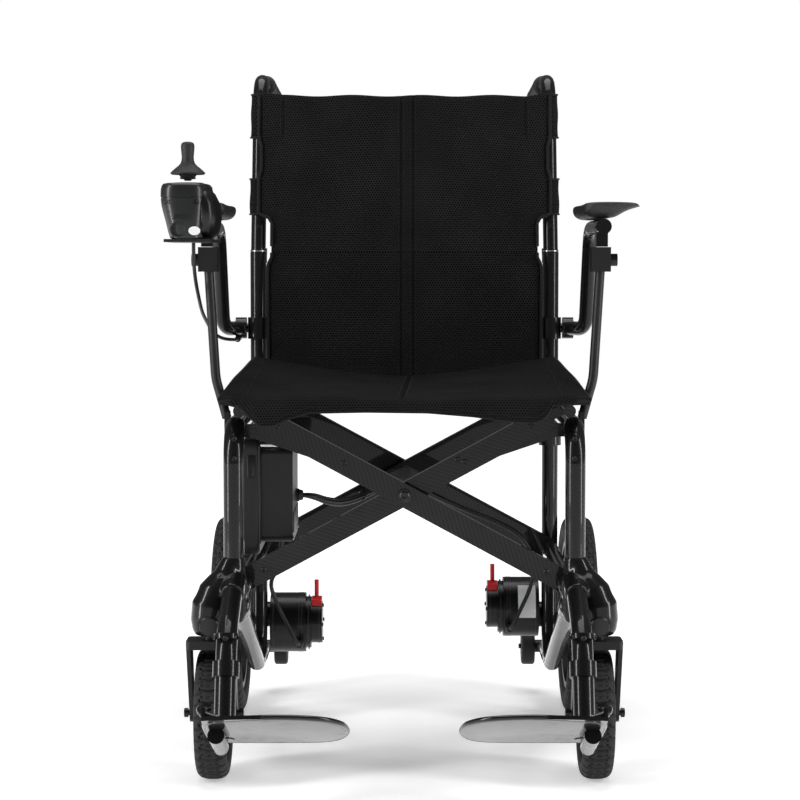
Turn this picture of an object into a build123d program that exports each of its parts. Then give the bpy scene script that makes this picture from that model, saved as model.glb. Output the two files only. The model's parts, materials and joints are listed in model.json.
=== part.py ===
"""Folding power wheelchair with a cross-braced tube frame, hub gear motors and an arm-mounted joystick.

Millimetres. +Z is up, the chair faces -Y and its right-hand wheels (seen from the front) are at +X.
The origin is on the floor, midway between the armrests and between the foot plates and the rear end.
"""

import os
from math import atan2, cos, degrees, hypot, radians, sin, tan

from build123d import *

# ---------------------------------------------------------------- driving dimensions
RUN = 0.05  # radial clearance of a pin or shaft in its bore
SEAT = 0.05  # radial clearance of a fixed tube in its socket
GAP = 0.6  # clearance between faces that slide past each other

# wheels
front_wheel_d = 175.0
front_tyre_w = 42.0
front_rim_r = 60.0
rear_wheel_d = 300.0
rear_tyre_w = 45.0
rear_rim_r = 112.0
wheelbase = 450.0
front_axle_y = -165.0
front_wheel_x = 254.0
rear_wheel_x = 263.5
caster_trail = 40.0
front_axle_d = 8.0
rear_axle_d = 15.0

# side frames
frame_x = 225.0  # seat tube and front leg
loop_x = 219.0  # rear post, lower loop and back tube
side_tube_d = 27.0
loop_tube_d = 24.0
seat_tube_z = 468.0
leg_y = -185.0
post_to_axle = 33.0  # rear post ahead of the rear axle
post_top_z = 701.7
leg_socket_z = 284.0
loop_corner_ahead = 14.0  # lower rear corner of the loop, ahead of the post
loop_corner_z = 72.0

# cross brace
brace_x = 217.0  # pivot rails and seat rails
pivot_z = 258.0
rail_z = 492.0
pivot_rail_d = 16.0
seat_rail_d = 16.0
sleeve_d = 26.0
bar_height = 30.0
bar_depth = 16.0
outer_bar_y = (-139.0, 219.0)  # front faces of the right brace's bars
inner_bar_y = (-121.0, 201.0)  # front faces of the left brace's bars
cross_bolt_d = 10.0
link_bolt_from_cross = 92.0

# foot rests
knee = (-313.0, 215.0)  # bend of the leg tube, Y and Z
leg_end = (-364.0, 92.0)
foot_pin_d = 12.0
plate_reach = 161.0  # inboard of the foot pin
plate_thickness = 5.0
plate_front = 130.0
plate_rear = 22.0

# back rest
back_tube_d = 22.0
back_lean = 42.0
back_top_z = 963.0
grip_end_behind = 199.0  # rear end of the push grips behind the rear axle
hinge_offset = 5.5  # back hinge pin behind the post's rear face
hinge_pin_d = 6.0

# arm rests
arm_tube_d = 21.0
arm_pivot_z = 588.0
arm_pin_d = 14.0
arm_x = 268.0
arm_z = 735.0
pad_outer_x = 316.0
pad_inner_x = 240.0
pad_front_y = -108.0
pad_rear_y = 118.0
pad_top_z = 768.0
stay_d = 13.0
stay_y = -60.0
latch_pin_d = 8.0

# drive
motor_d = 90.0
motor_cap_d = 63.0
motor_offset = 12.0  # the gearbox is eccentric: one motor hangs low and the other stands high
motor_outer_x = 203.5
motor_ring_x = 150.0
motor_cap_x = 142.0
motor_end_x = 125.0
mount_plate_d = 96.0
tip_arm_d = 16.0
tip_socket_z = 91.0

# controller
stick_at = (-281.0, -205.0)
housing_x = (-316.0, -248.0)
housing_y = (-250.0, -122.0)
housing_z = (717.0, 788.0)
tray_thickness = 4.0

# ---------------------------------------------------------------- worked-out places
rear_axle_y = front_axle_y + wheelbase
post_y = rear_axle_y - post_to_axle
loop_low = (post_y - loop_corner_ahead, loop_corner_z)
rear_end_y = rear_axle_y + grip_end_behind
front_axle_z = front_wheel_d / 2
rear_axle_z = rear_wheel_d / 2
caster_y = front_axle_y - caster_trail
cross_z = (pivot_z + rail_z) / 2
brace_angle = atan2(rail_z - pivot_z, 2 * brace_x)
brace_length = hypot(rail_z - pivot_z, 2 * brace_x)


def unit(start, end):
    """Unit vector in the side plane from one (Y, Z) point to another."""
    length = hypot(end[0] - start[0], end[1] - start[1])
    return (end[0] - start[0]) / length, (end[1] - start[1]) / length


def along(start, direction, distance, x):
    """Point at a distance along a side-plane direction, as X, Y, Z."""
    return (x, start[0] + direction[0] * distance, start[1] + direction[1] * distance)


def rod(start, end, diameter, mode=Mode.ADD):
    """A round bar between two points."""
    axis = Vector(*end) - Vector(*start)
    with BuildSketch(Plane(origin=start, z_dir=axis)) as section:
        Circle(diameter / 2)
    extrude(section.sketch, amount=axis.length, mode=mode)


def block(x, y, z, mode=Mode.ADD):
    """A box between three pairs of limits."""
    centre = tuple((low + high) / 2 for low, high in (x, y, z))
    with Locations(centre):
        Box(abs(x[1] - x[0]), abs(y[1] - y[0]), abs(z[1] - z[0]), mode=mode)


def bent_tube(points, radii, diameter):
    """A round tube along straight runs joined by tangent arcs."""
    with BuildLine() as path:
        FilletPolyline(*points, radius=radii)
    with BuildSketch(Plane(origin=path.line @ 0, z_dir=path.line % 0)) as section:
        Circle(diameter / 2)
    sweep(section.sketch, path=path.line)


def save(piece, label):
    """Write one finished piece."""
    piece.label = label
    export_step(piece, f"parts/{label}.step")


def save_pair(piece, label):
    """Write a right-hand piece and its mirror image."""
    save(piece, f"{label}_right")
    save(mirror(piece, about=Plane.YZ), f"{label}_left")


os.makedirs("parts", exist_ok=True)

# ---------------------------------------------------------------- side frames
hanger_start = (leg_y, 270.0)
hanger_dir = unit(hanger_start, knee)
loop_start = (leg_y, 236.0)
loop_dir = unit(loop_start, loop_low)
shin_dir = unit(knee, leg_end)
lug_y = {1: -93.0, -1: -111.0}  # front faces of the link lugs
link_thickness = 8.0
link_pivot = (203.0, 460.0)


def side_tube(side):
    """Seat tube and front leg in one bend, with the lug that the brace link hangs on."""
    x = side * frame_x
    lug = lug_y[side]
    with BuildPart() as tube:
        bent_tube(
            [(x, leg_y, leg_socket_z), (x, leg_y, seat_tube_z), (x, post_y - loop_tube_d, seat_tube_z)],
            45.0,
            side_tube_d,
        )
        lug_reach = (side * (link_pivot[0] - 8), x)
        block(sorted(lug_reach), (lug, lug + 8), (link_pivot[1] - 9, link_pivot[1] + 9))
        pin_x = side * link_pivot[0]
        pin_front = lug - link_thickness - 2 * GAP - 1
        rod((pin_x, pin_front, link_pivot[1]), (pin_x, lug + 1, link_pivot[1]), latch_pin_d)
    return tube.part


save(side_tube(1), "side_tube_right")
save(side_tube(-1), "side_tube_left")

back_hinge_y = post_y + loop_tube_d / 2 + hinge_offset
back_hinge_z = post_top_z + 0.3

with BuildPart() as rear_loop:
    loop_first = along(loop_start, loop_dir, 18, loop_x)
    bent_tube(
        [loop_first, (loop_x, *loop_low), (loop_x, post_y, 190.0), (loop_x, post_y, post_top_z)],
        [50.0, 60.0],
        loop_tube_d,
    )
    # pivot rail that the cross brace turns on
    rod((brace_x, leg_y + 29, pivot_z), (brace_x, post_y, pivot_z), pivot_rail_d)
    rod((brace_x, post_y - 14, pivot_z), (brace_x, post_y, pivot_z), sleeve_d)
    # socket for the seat tube
    socket_mouth = post_y - loop_tube_d - 20
    rod((frame_x, socket_mouth, seat_tube_z), (frame_x, post_y, seat_tube_z), side_tube_d + 8)
    rod(
        (frame_x, socket_mouth, seat_tube_z),
        (frame_x, post_y - loop_tube_d, seat_tube_z),
        side_tube_d + 2 * SEAT,
        mode=Mode.SUBTRACT,
    )
    # cap over the joint below the seat
    rod((loop_x, post_y, 412), (loop_x, post_y, seat_tube_z), 34)
    # plate that carries the drive motor
    rod((loop_x - 5, rear_axle_y, rear_axle_z), (loop_x + 3, rear_axle_y, rear_axle_z), mount_plate_d)
    rod(
        (loop_x - 6, rear_axle_y, rear_axle_z),
        (loop_x + 4, rear_axle_y, rear_axle_z),
        38 + 2 * SEAT,
        mode=Mode.SUBTRACT,
    )
    with BuildSketch(Plane.YZ.offset(loop_x - 5)):
        with Locations((rear_axle_y, rear_axle_z)):
            with PolarLocations(39, 4, start_angle=-60, angular_range=160):
                Circle(3)
    extrude(amount=8, mode=Mode.SUBTRACT)
    # sleeve and pin for the arm rest
    rod((loop_x, post_y, arm_pivot_z - 16), (loop_x, post_y, arm_pivot_z + 16), 32)
    rod((loop_x, post_y, arm_pivot_z), (256.0, post_y, arm_pivot_z), arm_pin_d)
    # socket for the anti-tip arm
    rod((loop_x, post_y, tip_socket_z), (loop_x, post_y + 40, tip_socket_z), 24)
    rod(
        (loop_x, post_y + 18, tip_socket_z),
        (loop_x, post_y + 41, tip_socket_z),
        tip_arm_d + 2 * SEAT,
        mode=Mode.SUBTRACT,
    )
    # outer leaves and pin of the back hinge
    for leaf_x in (loop_x - 12, loop_x + 6):
        block((leaf_x, leaf_x + 6), (post_y + 3, back_hinge_y), (post_top_z - 16, post_top_z))
        rod(
            (leaf_x, back_hinge_y, back_hinge_z),
            (leaf_x + 6, back_hinge_y, back_hinge_z),
            2 * hinge_offset,
        )
    rod(
        (loop_x - 12, back_hinge_y, back_hinge_z),
        (loop_x + 12, back_hinge_y, back_hinge_z),
        hinge_pin_d,
    )
save_pair(rear_loop.part, "rear_loop")

caster_bore_d = 20.0
caster_low_z = 196.0
with BuildPart() as caster_housing:
    rod((frame_x, leg_y, 216), (frame_x, leg_y, 300), 38)
    rod((frame_x, *hanger_start), along(hanger_start, hanger_dir, 42, frame_x), 36)
    rod((loop_x, *loop_start), along(loop_start, loop_dir, 40, loop_x), 34)
    rod((brace_x, leg_y, pivot_z), (brace_x, leg_y + 38, pivot_z), sleeve_d)
    rod((front_wheel_x, caster_y, caster_low_z), (front_wheel_x, caster_y, 252), 42)
    # web between the leg collar and the caster stem
    with BuildSketch(Plane.XY.offset(208)) as web:
        with BuildLine():
            Polyline(
                (frame_x - 8, leg_y + 14),
                (front_wheel_x + 6, caster_y + 18),
                (front_wheel_x - 4, caster_y - 19),
                (frame_x - 14, leg_y - 12),
                close=True,
            )
        make_face()
    extrude(web.sketch, amount=52)
    # leg, hanger, loop, rail and stem bores
    rod((frame_x, leg_y, leg_socket_z), (frame_x, leg_y, 301), side_tube_d + 2 * SEAT, mode=Mode.SUBTRACT)
    rod(
        along(hanger_start, hanger_dir, 20, frame_x),
        along(hanger_start, hanger_dir, 43, frame_x),
        side_tube_d + 2 * SEAT,
        mode=Mode.SUBTRACT,
    )
    rod(loop_first, along(loop_start, loop_dir, 41, loop_x), loop_tube_d + 2 * SEAT, mode=Mode.SUBTRACT)
    rod(
        (brace_x, leg_y + 29, pivot_z),
        (brace_x, leg_y + 39, pivot_z),
        pivot_rail_d + 2 * SEAT,
        mode=Mode.SUBTRACT,
    )
    rod(
        (front_wheel_x, caster_y, caster_low_z - 1),
        (front_wheel_x, caster_y, 244),
        caster_bore_d + 2 * RUN,
        mode=Mode.SUBTRACT,
    )
    top_rim = caster_housing.edges().filter_by(GeomType.CIRCLE).sort_by(Axis.Z)
    fillet([edge for edge in top_rim if abs(edge.center().Z - 252) < 0.1 and edge.radius > 20], 9)
save_pair(caster_housing.part, "caster_housing")

with BuildPart() as leg_tube:
    bent_tube(
        [along(hanger_start, hanger_dir, 20, frame_x), (frame_x, *knee), (frame_x, *leg_end)],
        70.0,
        side_tube_d,
    )
    # clamp collar above the bend and foot pin across the lower end
    rod(along(knee, shin_dir, 34, frame_x), along(knee, shin_dir, 54, frame_x), 34)
    foot_dir = (shin_dir[1], -shin_dir[0])
    foot_x = frame_x + 5
    foot_centre = (leg_end[0] + 6 * shin_dir[0], leg_end[1] + 6 * shin_dir[1])
    rod(
        along(foot_centre, foot_dir, -15, foot_x),
        along(foot_centre, foot_dir, 17, foot_x),
        20,
    )
    rod(
        along(foot_centre, foot_dir, 0, foot_x),
        along(foot_centre, foot_dir, 64, foot_x),
        foot_pin_d,
    )
save_pair(leg_tube.part, "leg_tube")

# ---------------------------------------------------------------- foot plates
plate_normal = (0, -foot_dir[1], foot_dir[0])
if plate_normal[2] < 0:
    plate_normal = tuple(-value for value in plate_normal)
plate_plane = Plane(
    origin=along(foot_centre, foot_dir, 0, foot_x), x_dir=(-1, 0, 0), z_dir=plate_normal
)
with BuildPart() as foot_plate:
    with BuildSketch(plate_plane.offset(7)):
        with BuildLine():
            outer_rear = Line((-14, plate_rear), (plate_reach - 40, plate_rear))
            tip = TangentArc(outer_rear @ 1, (plate_reach - 12, plate_rear + 16), tangent=outer_rear % 1)
            nose = TangentArc(tip @ 1, (plate_reach - 20, plate_front - 28), tangent=tip % 1)
            toe = TangentArc(nose @ 1, (plate_reach - 84, plate_front), tangent=nose % 1)
            ThreePointArc(toe @ 1, (22, plate_front - 3), (-14, plate_front - 11))
            Line((-14, plate_front - 11), (-14, plate_rear))
        make_face()
    extrude(amount=plate_thickness)
    # upturned outer rim
    with BuildSketch(plate_plane.offset(7)):
        with Locations((-11.5, (plate_front - 11 + plate_rear) / 2)):
            Rectangle(5, plate_front - 11 - plate_rear)
    extrude(amount=16)
    # sleeve on the foot pin
    rod(
        along(foot_centre, foot_dir, plate_rear - 2, foot_x),
        along(foot_centre, foot_dir, 64, foot_x),
        21,
    )
    rod(
        along(foot_centre, foot_dir, plate_rear - 3, foot_x),
        along(foot_centre, foot_dir, 65, foot_x),
        foot_pin_d + 2 * RUN,
        mode=Mode.SUBTRACT,
    )
save_pair(foot_plate.part, "foot_plate")

# ---------------------------------------------------------------- casters
fork_gap = front_tyre_w / 2 + 5
fork_plate = 5.5
crown_low = front_wheel_d + 7
with BuildPart() as caster_fork:
    rod((front_wheel_x, caster_y, crown_low + 5), (front_wheel_x, caster_y, 243), caster_bore_d)
    with BuildSketch(Plane.XY.offset(crown_low)):
        with Locations((front_wheel_x, caster_y)):
            RectangleRounded(2 * (fork_gap + fork_plate), 46, 6)
    extrude(amount=11)
    for inner_x in (front_wheel_x - fork_gap - fork_plate, front_wheel_x + fork_gap):
        with BuildSketch(Plane.YZ.offset(inner_x)):
            with BuildLine():
                Polyline(
                    (caster_y - 20, crown_low + 9),
                    (caster_y + 22, crown_low + 9),
                    (front_axle_y + 11, front_axle_z + 4),
                    (front_axle_y - 11, front_axle_z - 2),
                    close=True,
                )
            make_face()
            with Locations((front_axle_y, front_axle_z)):
                Circle(12)
        extrude(amount=fork_plate)
    half_axle = fork_gap + fork_plate + 4
    rod(
        (front_wheel_x - half_axle, front_axle_y, front_axle_z),
        (front_wheel_x + half_axle, front_axle_y, front_axle_z),
        front_axle_d,
    )
save_pair(caster_fork.part, "caster_fork")


def tyre(centre, outer_r, inner_r, width, shoulder):
    """A tyre with rounded shoulders."""
    with BuildPart() as ring:
        with BuildSketch(Plane.XY):
            with Locations(((outer_r + inner_r) / 2, 0)):
                RectangleRounded(outer_r - inner_r, width, shoulder)
        revolve(axis=Axis.Y)
    turned = ring.part.rotate(Axis.Z, 90)
    return turned.translate(centre)


def spoked_rim(centre, rim_r, width, hub_r, hub_width, bore_d, spokes):
    """A moulded rim with a hub and straight spokes."""
    with BuildPart() as rim:
        with BuildSketch(Plane.YZ.offset(-width / 2)):
            Circle(rim_r)
            Circle(rim_r - 9, mode=Mode.SUBTRACT)
        extrude(amount=width)
        with BuildSketch(Plane.YZ.offset(-hub_width / 2)):
            Circle(hub_r)
        extrude(amount=hub_width)
        with BuildSketch(Plane.YZ.offset(-width / 4)):
            with PolarLocations((rim_r + hub_r) / 2 - 3, spokes):
                Rectangle(rim_r - hub_r, 13)
        extrude(amount=width / 2)
        with BuildSketch(Plane.YZ.offset(-hub_width / 2)):
            Circle(bore_d / 2 + RUN)
        extrude(amount=hub_width, mode=Mode.SUBTRACT)
    return rim.part.translate(centre)


front_centre = (front_wheel_x, front_axle_y, front_axle_z)
rear_centre = (rear_wheel_x, rear_axle_y, rear_axle_z)
save_pair(tyre(front_centre, front_wheel_d / 2, front_rim_r + SEAT, front_tyre_w, 9), "front_tyre")
save_pair(
    spoked_rim(front_centre, front_rim_r, 32, 17, 2 * fork_gap - 2, front_axle_d, 5), "front_rim"
)
save_pair(tyre(rear_centre, rear_wheel_d / 2, rear_rim_r + SEAT, rear_tyre_w, 13), "rear_tyre")
save_pair(spoked_rim(rear_centre, rear_rim_r, 36, 24, 38, rear_axle_d, 6), "rear_rim")

# ---------------------------------------------------------------- anti-tip wheels
tip_wheel_d = 58.0
tip_y = rear_end_y - tip_wheel_d / 2
tip_z = 72.0
with BuildPart() as anti_tip_arm:
    bent_tube(
        [(loop_x, post_y + 18, tip_socket_z), (loop_x, post_y + 88, tip_socket_z), (loop_x, tip_y, tip_z)],
        90.0,
        tip_arm_d,
    )
    rod((loop_x - 9.5, tip_y, tip_z), (loop_x + 9.5, tip_y, tip_z), 20)
    rod((loop_x - 36, tip_y, tip_z), (loop_x, tip_y, tip_z), 8)
save_pair(anti_tip_arm.part, "anti_tip_arm")

with BuildPart() as anti_tip_wheel:
    with BuildSketch(Plane.YZ.offset(loop_x - 32)):
        with Locations((tip_y, tip_z)):
            Circle(tip_wheel_d / 2)
            Circle(4 + RUN, mode=Mode.SUBTRACT)
    extrude(amount=21)
    rims = anti_tip_wheel.edges().filter_by(GeomType.CIRCLE)
    fillet([edge for edge in rims if edge.radius > 20], 4)
save_pair(anti_tip_wheel.part, "anti_tip_wheel")

# ---------------------------------------------------------------- drive motors
gland_x = 158.0


def drive_motor(side):
    """Gear motor with its output shaft, end cap and cable gland."""
    motor_z = rear_axle_z + side * motor_offset
    with BuildPart() as motor:
        rod((side * motor_ring_x, rear_axle_y, motor_z), (side * motor_outer_x, rear_axle_y, motor_z), motor_d)
        rod((side * motor_cap_x, rear_axle_y, motor_z), (side * motor_ring_x, rear_axle_y, motor_z), 78)
        rod((side * motor_end_x, rear_axle_y, motor_z), (side * motor_cap_x, rear_axle_y, motor_z), motor_cap_d)
        rod((side * 200, rear_axle_y, rear_axle_z), (side * 226, rear_axle_y, rear_axle_z), 38)
        rod((side * 226, rear_axle_y, rear_axle_z), (side * 284, rear_axle_y, rear_axle_z), rear_axle_d)
        rod((side * gland_x, post_y - 16, motor_z - 26), (side * gland_x, post_y + 10, motor_z - 26), 10)
    return motor.part


def release_lever(side):
    """Red freewheel lever: a shoe on the end cap with a thin stick."""
    motor_z = rear_axle_z + side * motor_offset
    shoe = (side * (motor_end_x + 1), side * (motor_cap_x - 1))
    cap_r = motor_cap_d / 2 + 0.3
    with BuildPart() as lever:
        with BuildSketch(Plane.YZ.offset(min(shoe))):
            with Locations((rear_axle_y, motor_z)):
                Circle(cap_r + 8)
                Circle(cap_r, mode=Mode.SUBTRACT)
            block_width = 34
            with Locations((rear_axle_y, motor_z + cap_r)):
                Rectangle(block_width, 40, mode=Mode.INTERSECT)
        extrude(amount=abs(shoe[1] - shoe[0]))
        stick_x = side * (motor_end_x + 9)
        rod((stick_x, rear_axle_y, motor_z + cap_r + 6), (stick_x, rear_axle_y, motor_z + cap_r + 33), 6.5)
    return lever.part


for side, name in ((1, "right"), (-1, "left")):
    save(drive_motor(side), f"drive_motor_{name}")
    save(release_lever(side), f"release_lever_{name}")


# ---------------------------------------------------------------- cross brace
def cross_brace(low_side, front_faces):
    """Two parallel bars, the sleeve on a pivot rail and the seat rail at their upper ends."""
    low_x = low_side * brace_x
    slope = (-low_side * cos(brace_angle), 0, sin(brace_angle))
    short = 24.0  # the deep part of a bar ends this far short of the seat rail
    first, last = front_faces[0], front_faces[1] + bar_depth
    with BuildPart() as brace:
        for face_y in front_faces:
            plane = Plane(origin=(0, face_y + bar_depth, cross_z), x_dir=slope, z_dir=(0, -1, 0))
            if low_side > 0:
                plane = Plane(origin=(0, face_y, cross_z), x_dir=slope, z_dir=(0, 1, 0))
            with BuildSketch(plane):
                with Locations((-short / 2, 0)):
                    Rectangle(brace_length - short, bar_height)
                with Locations((brace_length / 2 - short / 2, 0)):
                    Rectangle(short, 13)
            extrude(amount=bar_depth)
        rod((low_x, first, pivot_z), (low_x, last, pivot_z), sleeve_d)
        rod((-low_x, leg_y - 7, rail_z), (-low_x, post_y - 46, rail_z), seat_rail_d)
        rod((low_x, first - 1, pivot_z), (low_x, last + 1, pivot_z), pivot_rail_d + 2 * RUN, mode=Mode.SUBTRACT)
        for face_y in front_faces:
            rod(
                (0, face_y - 1, cross_z),
                (0, face_y + bar_depth + 1, cross_z),
                cross_bolt_d + 2 * RUN,
                mode=Mode.SUBTRACT,
            )
    return brace.part


save(cross_brace(-1, inner_bar_y), "cross_brace_left")
save(cross_brace(1, outer_bar_y), "cross_brace_right")

with BuildPart() as cross_pivot:
    for outer_y, inner_y in zip(outer_bar_y, inner_bar_y):
        low = min(outer_y, inner_y)
        high = max(outer_y, inner_y) + bar_depth
        rod((0, low - 4, cross_z), (0, high + 4, cross_z), cross_bolt_d)
        rod((0, low - 5.5, cross_z), (0, low - GAP, cross_z), 18)
        rod((0, high + GAP, cross_z), (0, high + 5.5, cross_z), 18)
save(cross_pivot.part, "cross_pivot")

link_bolt = (
    link_bolt_from_cross * cos(brace_angle),
    cross_z + link_bolt_from_cross * sin(brace_angle),
)


def brace_link(side):
    """Flat link between the side frame's lug and the upper half of a bar."""
    back = lug_y[side] - GAP
    front = back - link_thickness
    length = hypot(link_pivot[0] - link_bolt[0], link_pivot[1] - link_bolt[1])
    tilt = (side * (link_pivot[0] - link_bolt[0]), 0, link_pivot[1] - link_bolt[1])
    centre_x = side * (link_pivot[0] + link_bolt[0]) / 2
    centre_z = (link_pivot[1] + link_bolt[1]) / 2
    with BuildPart() as link:
        with BuildSketch(Plane(origin=(centre_x, front, centre_z), x_dir=tilt, z_dir=(0, 1, 0))):
            SlotCenterToCenter(length, 18)
        extrude(amount=link_thickness)
        pivot_x = side * link_pivot[0]
        rod(
            (pivot_x, front - 1, link_pivot[1]),
            (pivot_x, back + 1, link_pivot[1]),
            latch_pin_d + 2 * RUN,
            mode=Mode.SUBTRACT,
        )
    return link.part


save(brace_link(1), "brace_link_right")
save(brace_link(-1), "brace_link_left")

# ---------------------------------------------------------------- back rest
with BuildPart() as back_tube:
    back_foot = (loop_x, post_y, post_top_z + GAP)
    bent_tube(
        [
            (loop_x, post_y - 1, post_top_z - 5),
            (loop_x - 2, post_y + back_lean, back_top_z),
            (loop_x - 7, rear_end_y - 6, back_top_z - 15),
        ],
        38.0,
        back_tube_d,
    )
    # square lower end, face to face with the post
    block(
        (loop_x - 20, loop_x + 20),
        (post_y - 20, post_y + 20),
        (post_top_z - 10, back_foot[2]),
        mode=Mode.SUBTRACT,
    )
    leaf = (loop_x - 6 + 0.3, loop_x + 6 - 0.3)
    block(leaf, (post_y + 3, back_hinge_y), (back_foot[2] + 0.4, back_foot[2] + 16))
    rod((leaf[0], back_hinge_y, back_hinge_z), (leaf[1], back_hinge_y, back_hinge_z), 2 * hinge_offset)
    rod(
        (leaf[0] - 1, back_hinge_y, back_hinge_z),
        (leaf[1] + 1, back_hinge_y, back_hinge_z),
        hinge_pin_d + 2 * RUN,
        mode=Mode.SUBTRACT,
    )
save_pair(back_tube.part, "back_tube")

grip_dir = Vector(-5, rear_end_y - 6 - post_y - back_lean, -15).normalized()
grip_end = Vector(loop_x - 7, rear_end_y - 6, back_top_z - 15)
grip_front = grip_end - grip_dir * 128
grip_back = grip_end + grip_dir * 6
with BuildPart() as push_grip:
    rod(tuple(grip_front), tuple(grip_back), 31)
    rod(
        tuple(grip_front - grip_dir),
        tuple(grip_end),
        back_tube_d + 2 * SEAT,
        mode=Mode.SUBTRACT,
    )
    ends = push_grip.edges().filter_by(GeomType.CIRCLE)
    fillet([edge for edge in ends if edge.radius > 15], 2)
save_pair(push_grip.part, "push_grip")

panel_thickness = 9.0
panel_gap = 1.5
with BuildPart() as back_panel_upper:
    lean_angle = degrees(atan2(back_lean, back_top_z - post_top_z))
    panel_front = post_y - back_tube_d / 2 - panel_gap
    panel_plane = Plane(
        origin=(0, panel_front, post_top_z),
        x_dir=(1, 0, 0),
        z_dir=(0, -cos(radians(lean_angle)), sin(radians(lean_angle))),
    )
    with BuildSketch(panel_plane):
        with BuildLine():
            half_outline = Polyline(
                (0, 3), (192, 3), (192, 50), (228, 56), (228, 110), (206, 114), (206, 168),
                (228, 172), (228, 236), (0, 238),
            )
            mirror(half_outline, about=Plane.YZ)
        make_face()
    extrude(amount=panel_thickness)
save(back_panel_upper.part, "back_panel_upper")

with BuildPart() as back_panel_lower:
    block((-196, 196), (panel_front - panel_thickness, panel_front), (546, post_top_z - 3))
save(back_panel_lower.part, "back_panel_lower")

# ---------------------------------------------------------------- arm rests
gland_z = 572.0


def arm_tube(side):
    """Arm tube with its pivot hub and the latch receiver under the pad."""
    x = side * arm_x
    hub = (side * 237.0, side * 253.0)
    with BuildPart() as arm:
        rod((hub[0], post_y, arm_pivot_z), (hub[1], post_y, arm_pivot_z), 32)
        bent_tube(
            [
                (side * 245, post_y - 6, arm_pivot_z),
                (x, 202, arm_pivot_z),
                (x, 120, arm_z),
                (x, -104, arm_z),
            ],
            [34.0, 60.0],
            arm_tube_d,
        )
        block(sorted((x - 8, x + 8)), (stay_y - 15, stay_y + 15), (708, arm_z - 4))
        if side < 0:
            rod((side * 249, post_y - 24, gland_z), (side * 249, post_y, gland_z), 9)
        rod(
            (side * 236, post_y, arm_pivot_z),
            (side * 257, post_y, arm_pivot_z),
            arm_pin_d + 2 * RUN,
            mode=Mode.SUBTRACT,
        )
    return arm.part


save(arm_tube(1), "arm_tube_right")
save(arm_tube(-1), "arm_tube_left")

pad_low_z = arm_z + arm_tube_d / 2 + GAP
with BuildPart() as arm_pad:
    with BuildSketch(Plane.XZ.offset(-pad_rear_y)):
        with BuildLine():
            Polyline(
                (pad_inner_x, pad_top_z - 3),
                (pad_inner_x + 4, pad_top_z),
                (pad_outer_x - 4, pad_top_z),
                (pad_outer_x, pad_top_z - 3),
                (pad_outer_x - 2, pad_top_z - 7),
                (pad_outer_x - 27, pad_low_z),
                (pad_inner_x + 10, pad_low_z),
                (pad_inner_x, pad_top_z - 12),
                close=True,
            )
        make_face()
    extrude(amount=pad_rear_y - pad_front_y)
save_pair(arm_pad.part, "arm_pad")

latch_z = 690.0
with BuildPart() as arm_stay:
    bent_tube(
        [
            (arm_x - 1, stay_y, 680),
            (arm_x - 10, stay_y, 528),
            (arm_x - 25, stay_y, 474),
        ],
        90.0,
        stay_d,
    )
    tab_x = frame_x + side_tube_d / 2 + 0.3
    block((tab_x, tab_x + 7), (stay_y - 12, stay_y + 12), (seat_tube_z - 13, seat_tube_z + 15))
    block((arm_x - 14, arm_x + 12), (stay_y - 18, stay_y + 18), (674, 708 - GAP))
    rod((arm_x - 6, stay_y, latch_z), (arm_x + 13, stay_y, latch_z), latch_pin_d + 2 * RUN, mode=Mode.SUBTRACT)
save_pair(arm_stay.part, "arm_stay")

with BuildPart() as arm_latch:
    rod((arm_x - 5, stay_y, latch_z), (arm_x + 16, stay_y, latch_z), latch_pin_d)
    rod((arm_x + 12 + GAP, stay_y, latch_z), (arm_x + 22, stay_y, latch_z), 17)
save_pair(arm_latch.part, "arm_latch")

# ---------------------------------------------------------------- controller
with BuildPart() as controller_tray:
    tray_top = housing_z[0] - 0.2
    block((-309, -249), (housing_y[0] + 6, -84), (tray_top - tray_thickness, tray_top))
    block((-277, -259), (-104, -84), (tray_top - 1, arm_z - arm_tube_d / 2 - 0.1))
save(controller_tray.part, "controller_tray")

stick_z = 794.0
button_d = 12.0
button_at = {"power_button": (-295.0, -146.0), "horn_button": (-271.0, -146.0)}
with BuildPart() as controller_housing:
    housing_mid_x = sum(housing_x) / 2
    housing_mid_y = sum(housing_y) / 2
    housing_length = housing_y[1] - housing_y[0]
    housing_width = housing_x[1] - housing_x[0]
    for height, inset in ((housing_z[0], 8), (housing_z[1] - 16, 0)):
        with BuildSketch(Plane.XY.offset(height)):
            with Locations((housing_mid_x, housing_mid_y)):
                RectangleRounded(housing_width - 2 * inset, housing_length - 2 * inset, 14)
    loft()
    with BuildSketch(Plane.XY.offset(housing_z[1] - 16)):
        with Locations((housing_mid_x, housing_mid_y)):
            RectangleRounded(housing_width, housing_length, 14)
    extrude(amount=16)
    fillet(controller_housing.faces().sort_by(Axis.Z)[-1].edges(), 4)
    # well for the stick, and pockets for the buttons
    with BuildSketch(Plane.XY.offset(housing_z[1] + 1)):
        with Locations(stick_at):
            Circle(14)
    extrude(amount=-19, mode=Mode.SUBTRACT)
    with BuildSketch(Plane.XY.offset(housing_z[1] + 1)):
        with Locations(*button_at.values()):
            Circle(button_d / 2 + RUN)
    extrude(amount=-7, mode=Mode.SUBTRACT)
save(controller_housing.part, "controller_housing")

with BuildPart() as joystick_gimbal:
    rod((stick_at[0] - 13, stick_at[1], stick_z - 12), (stick_at[0] + 13, stick_at[1], stick_z - 12), 5)
    rod((stick_at[0], stick_at[1] - 6, stick_z - 12), (stick_at[0], stick_at[1] + 6, stick_z - 12), 8)
save(joystick_gimbal.part, "joystick_gimbal")

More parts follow.
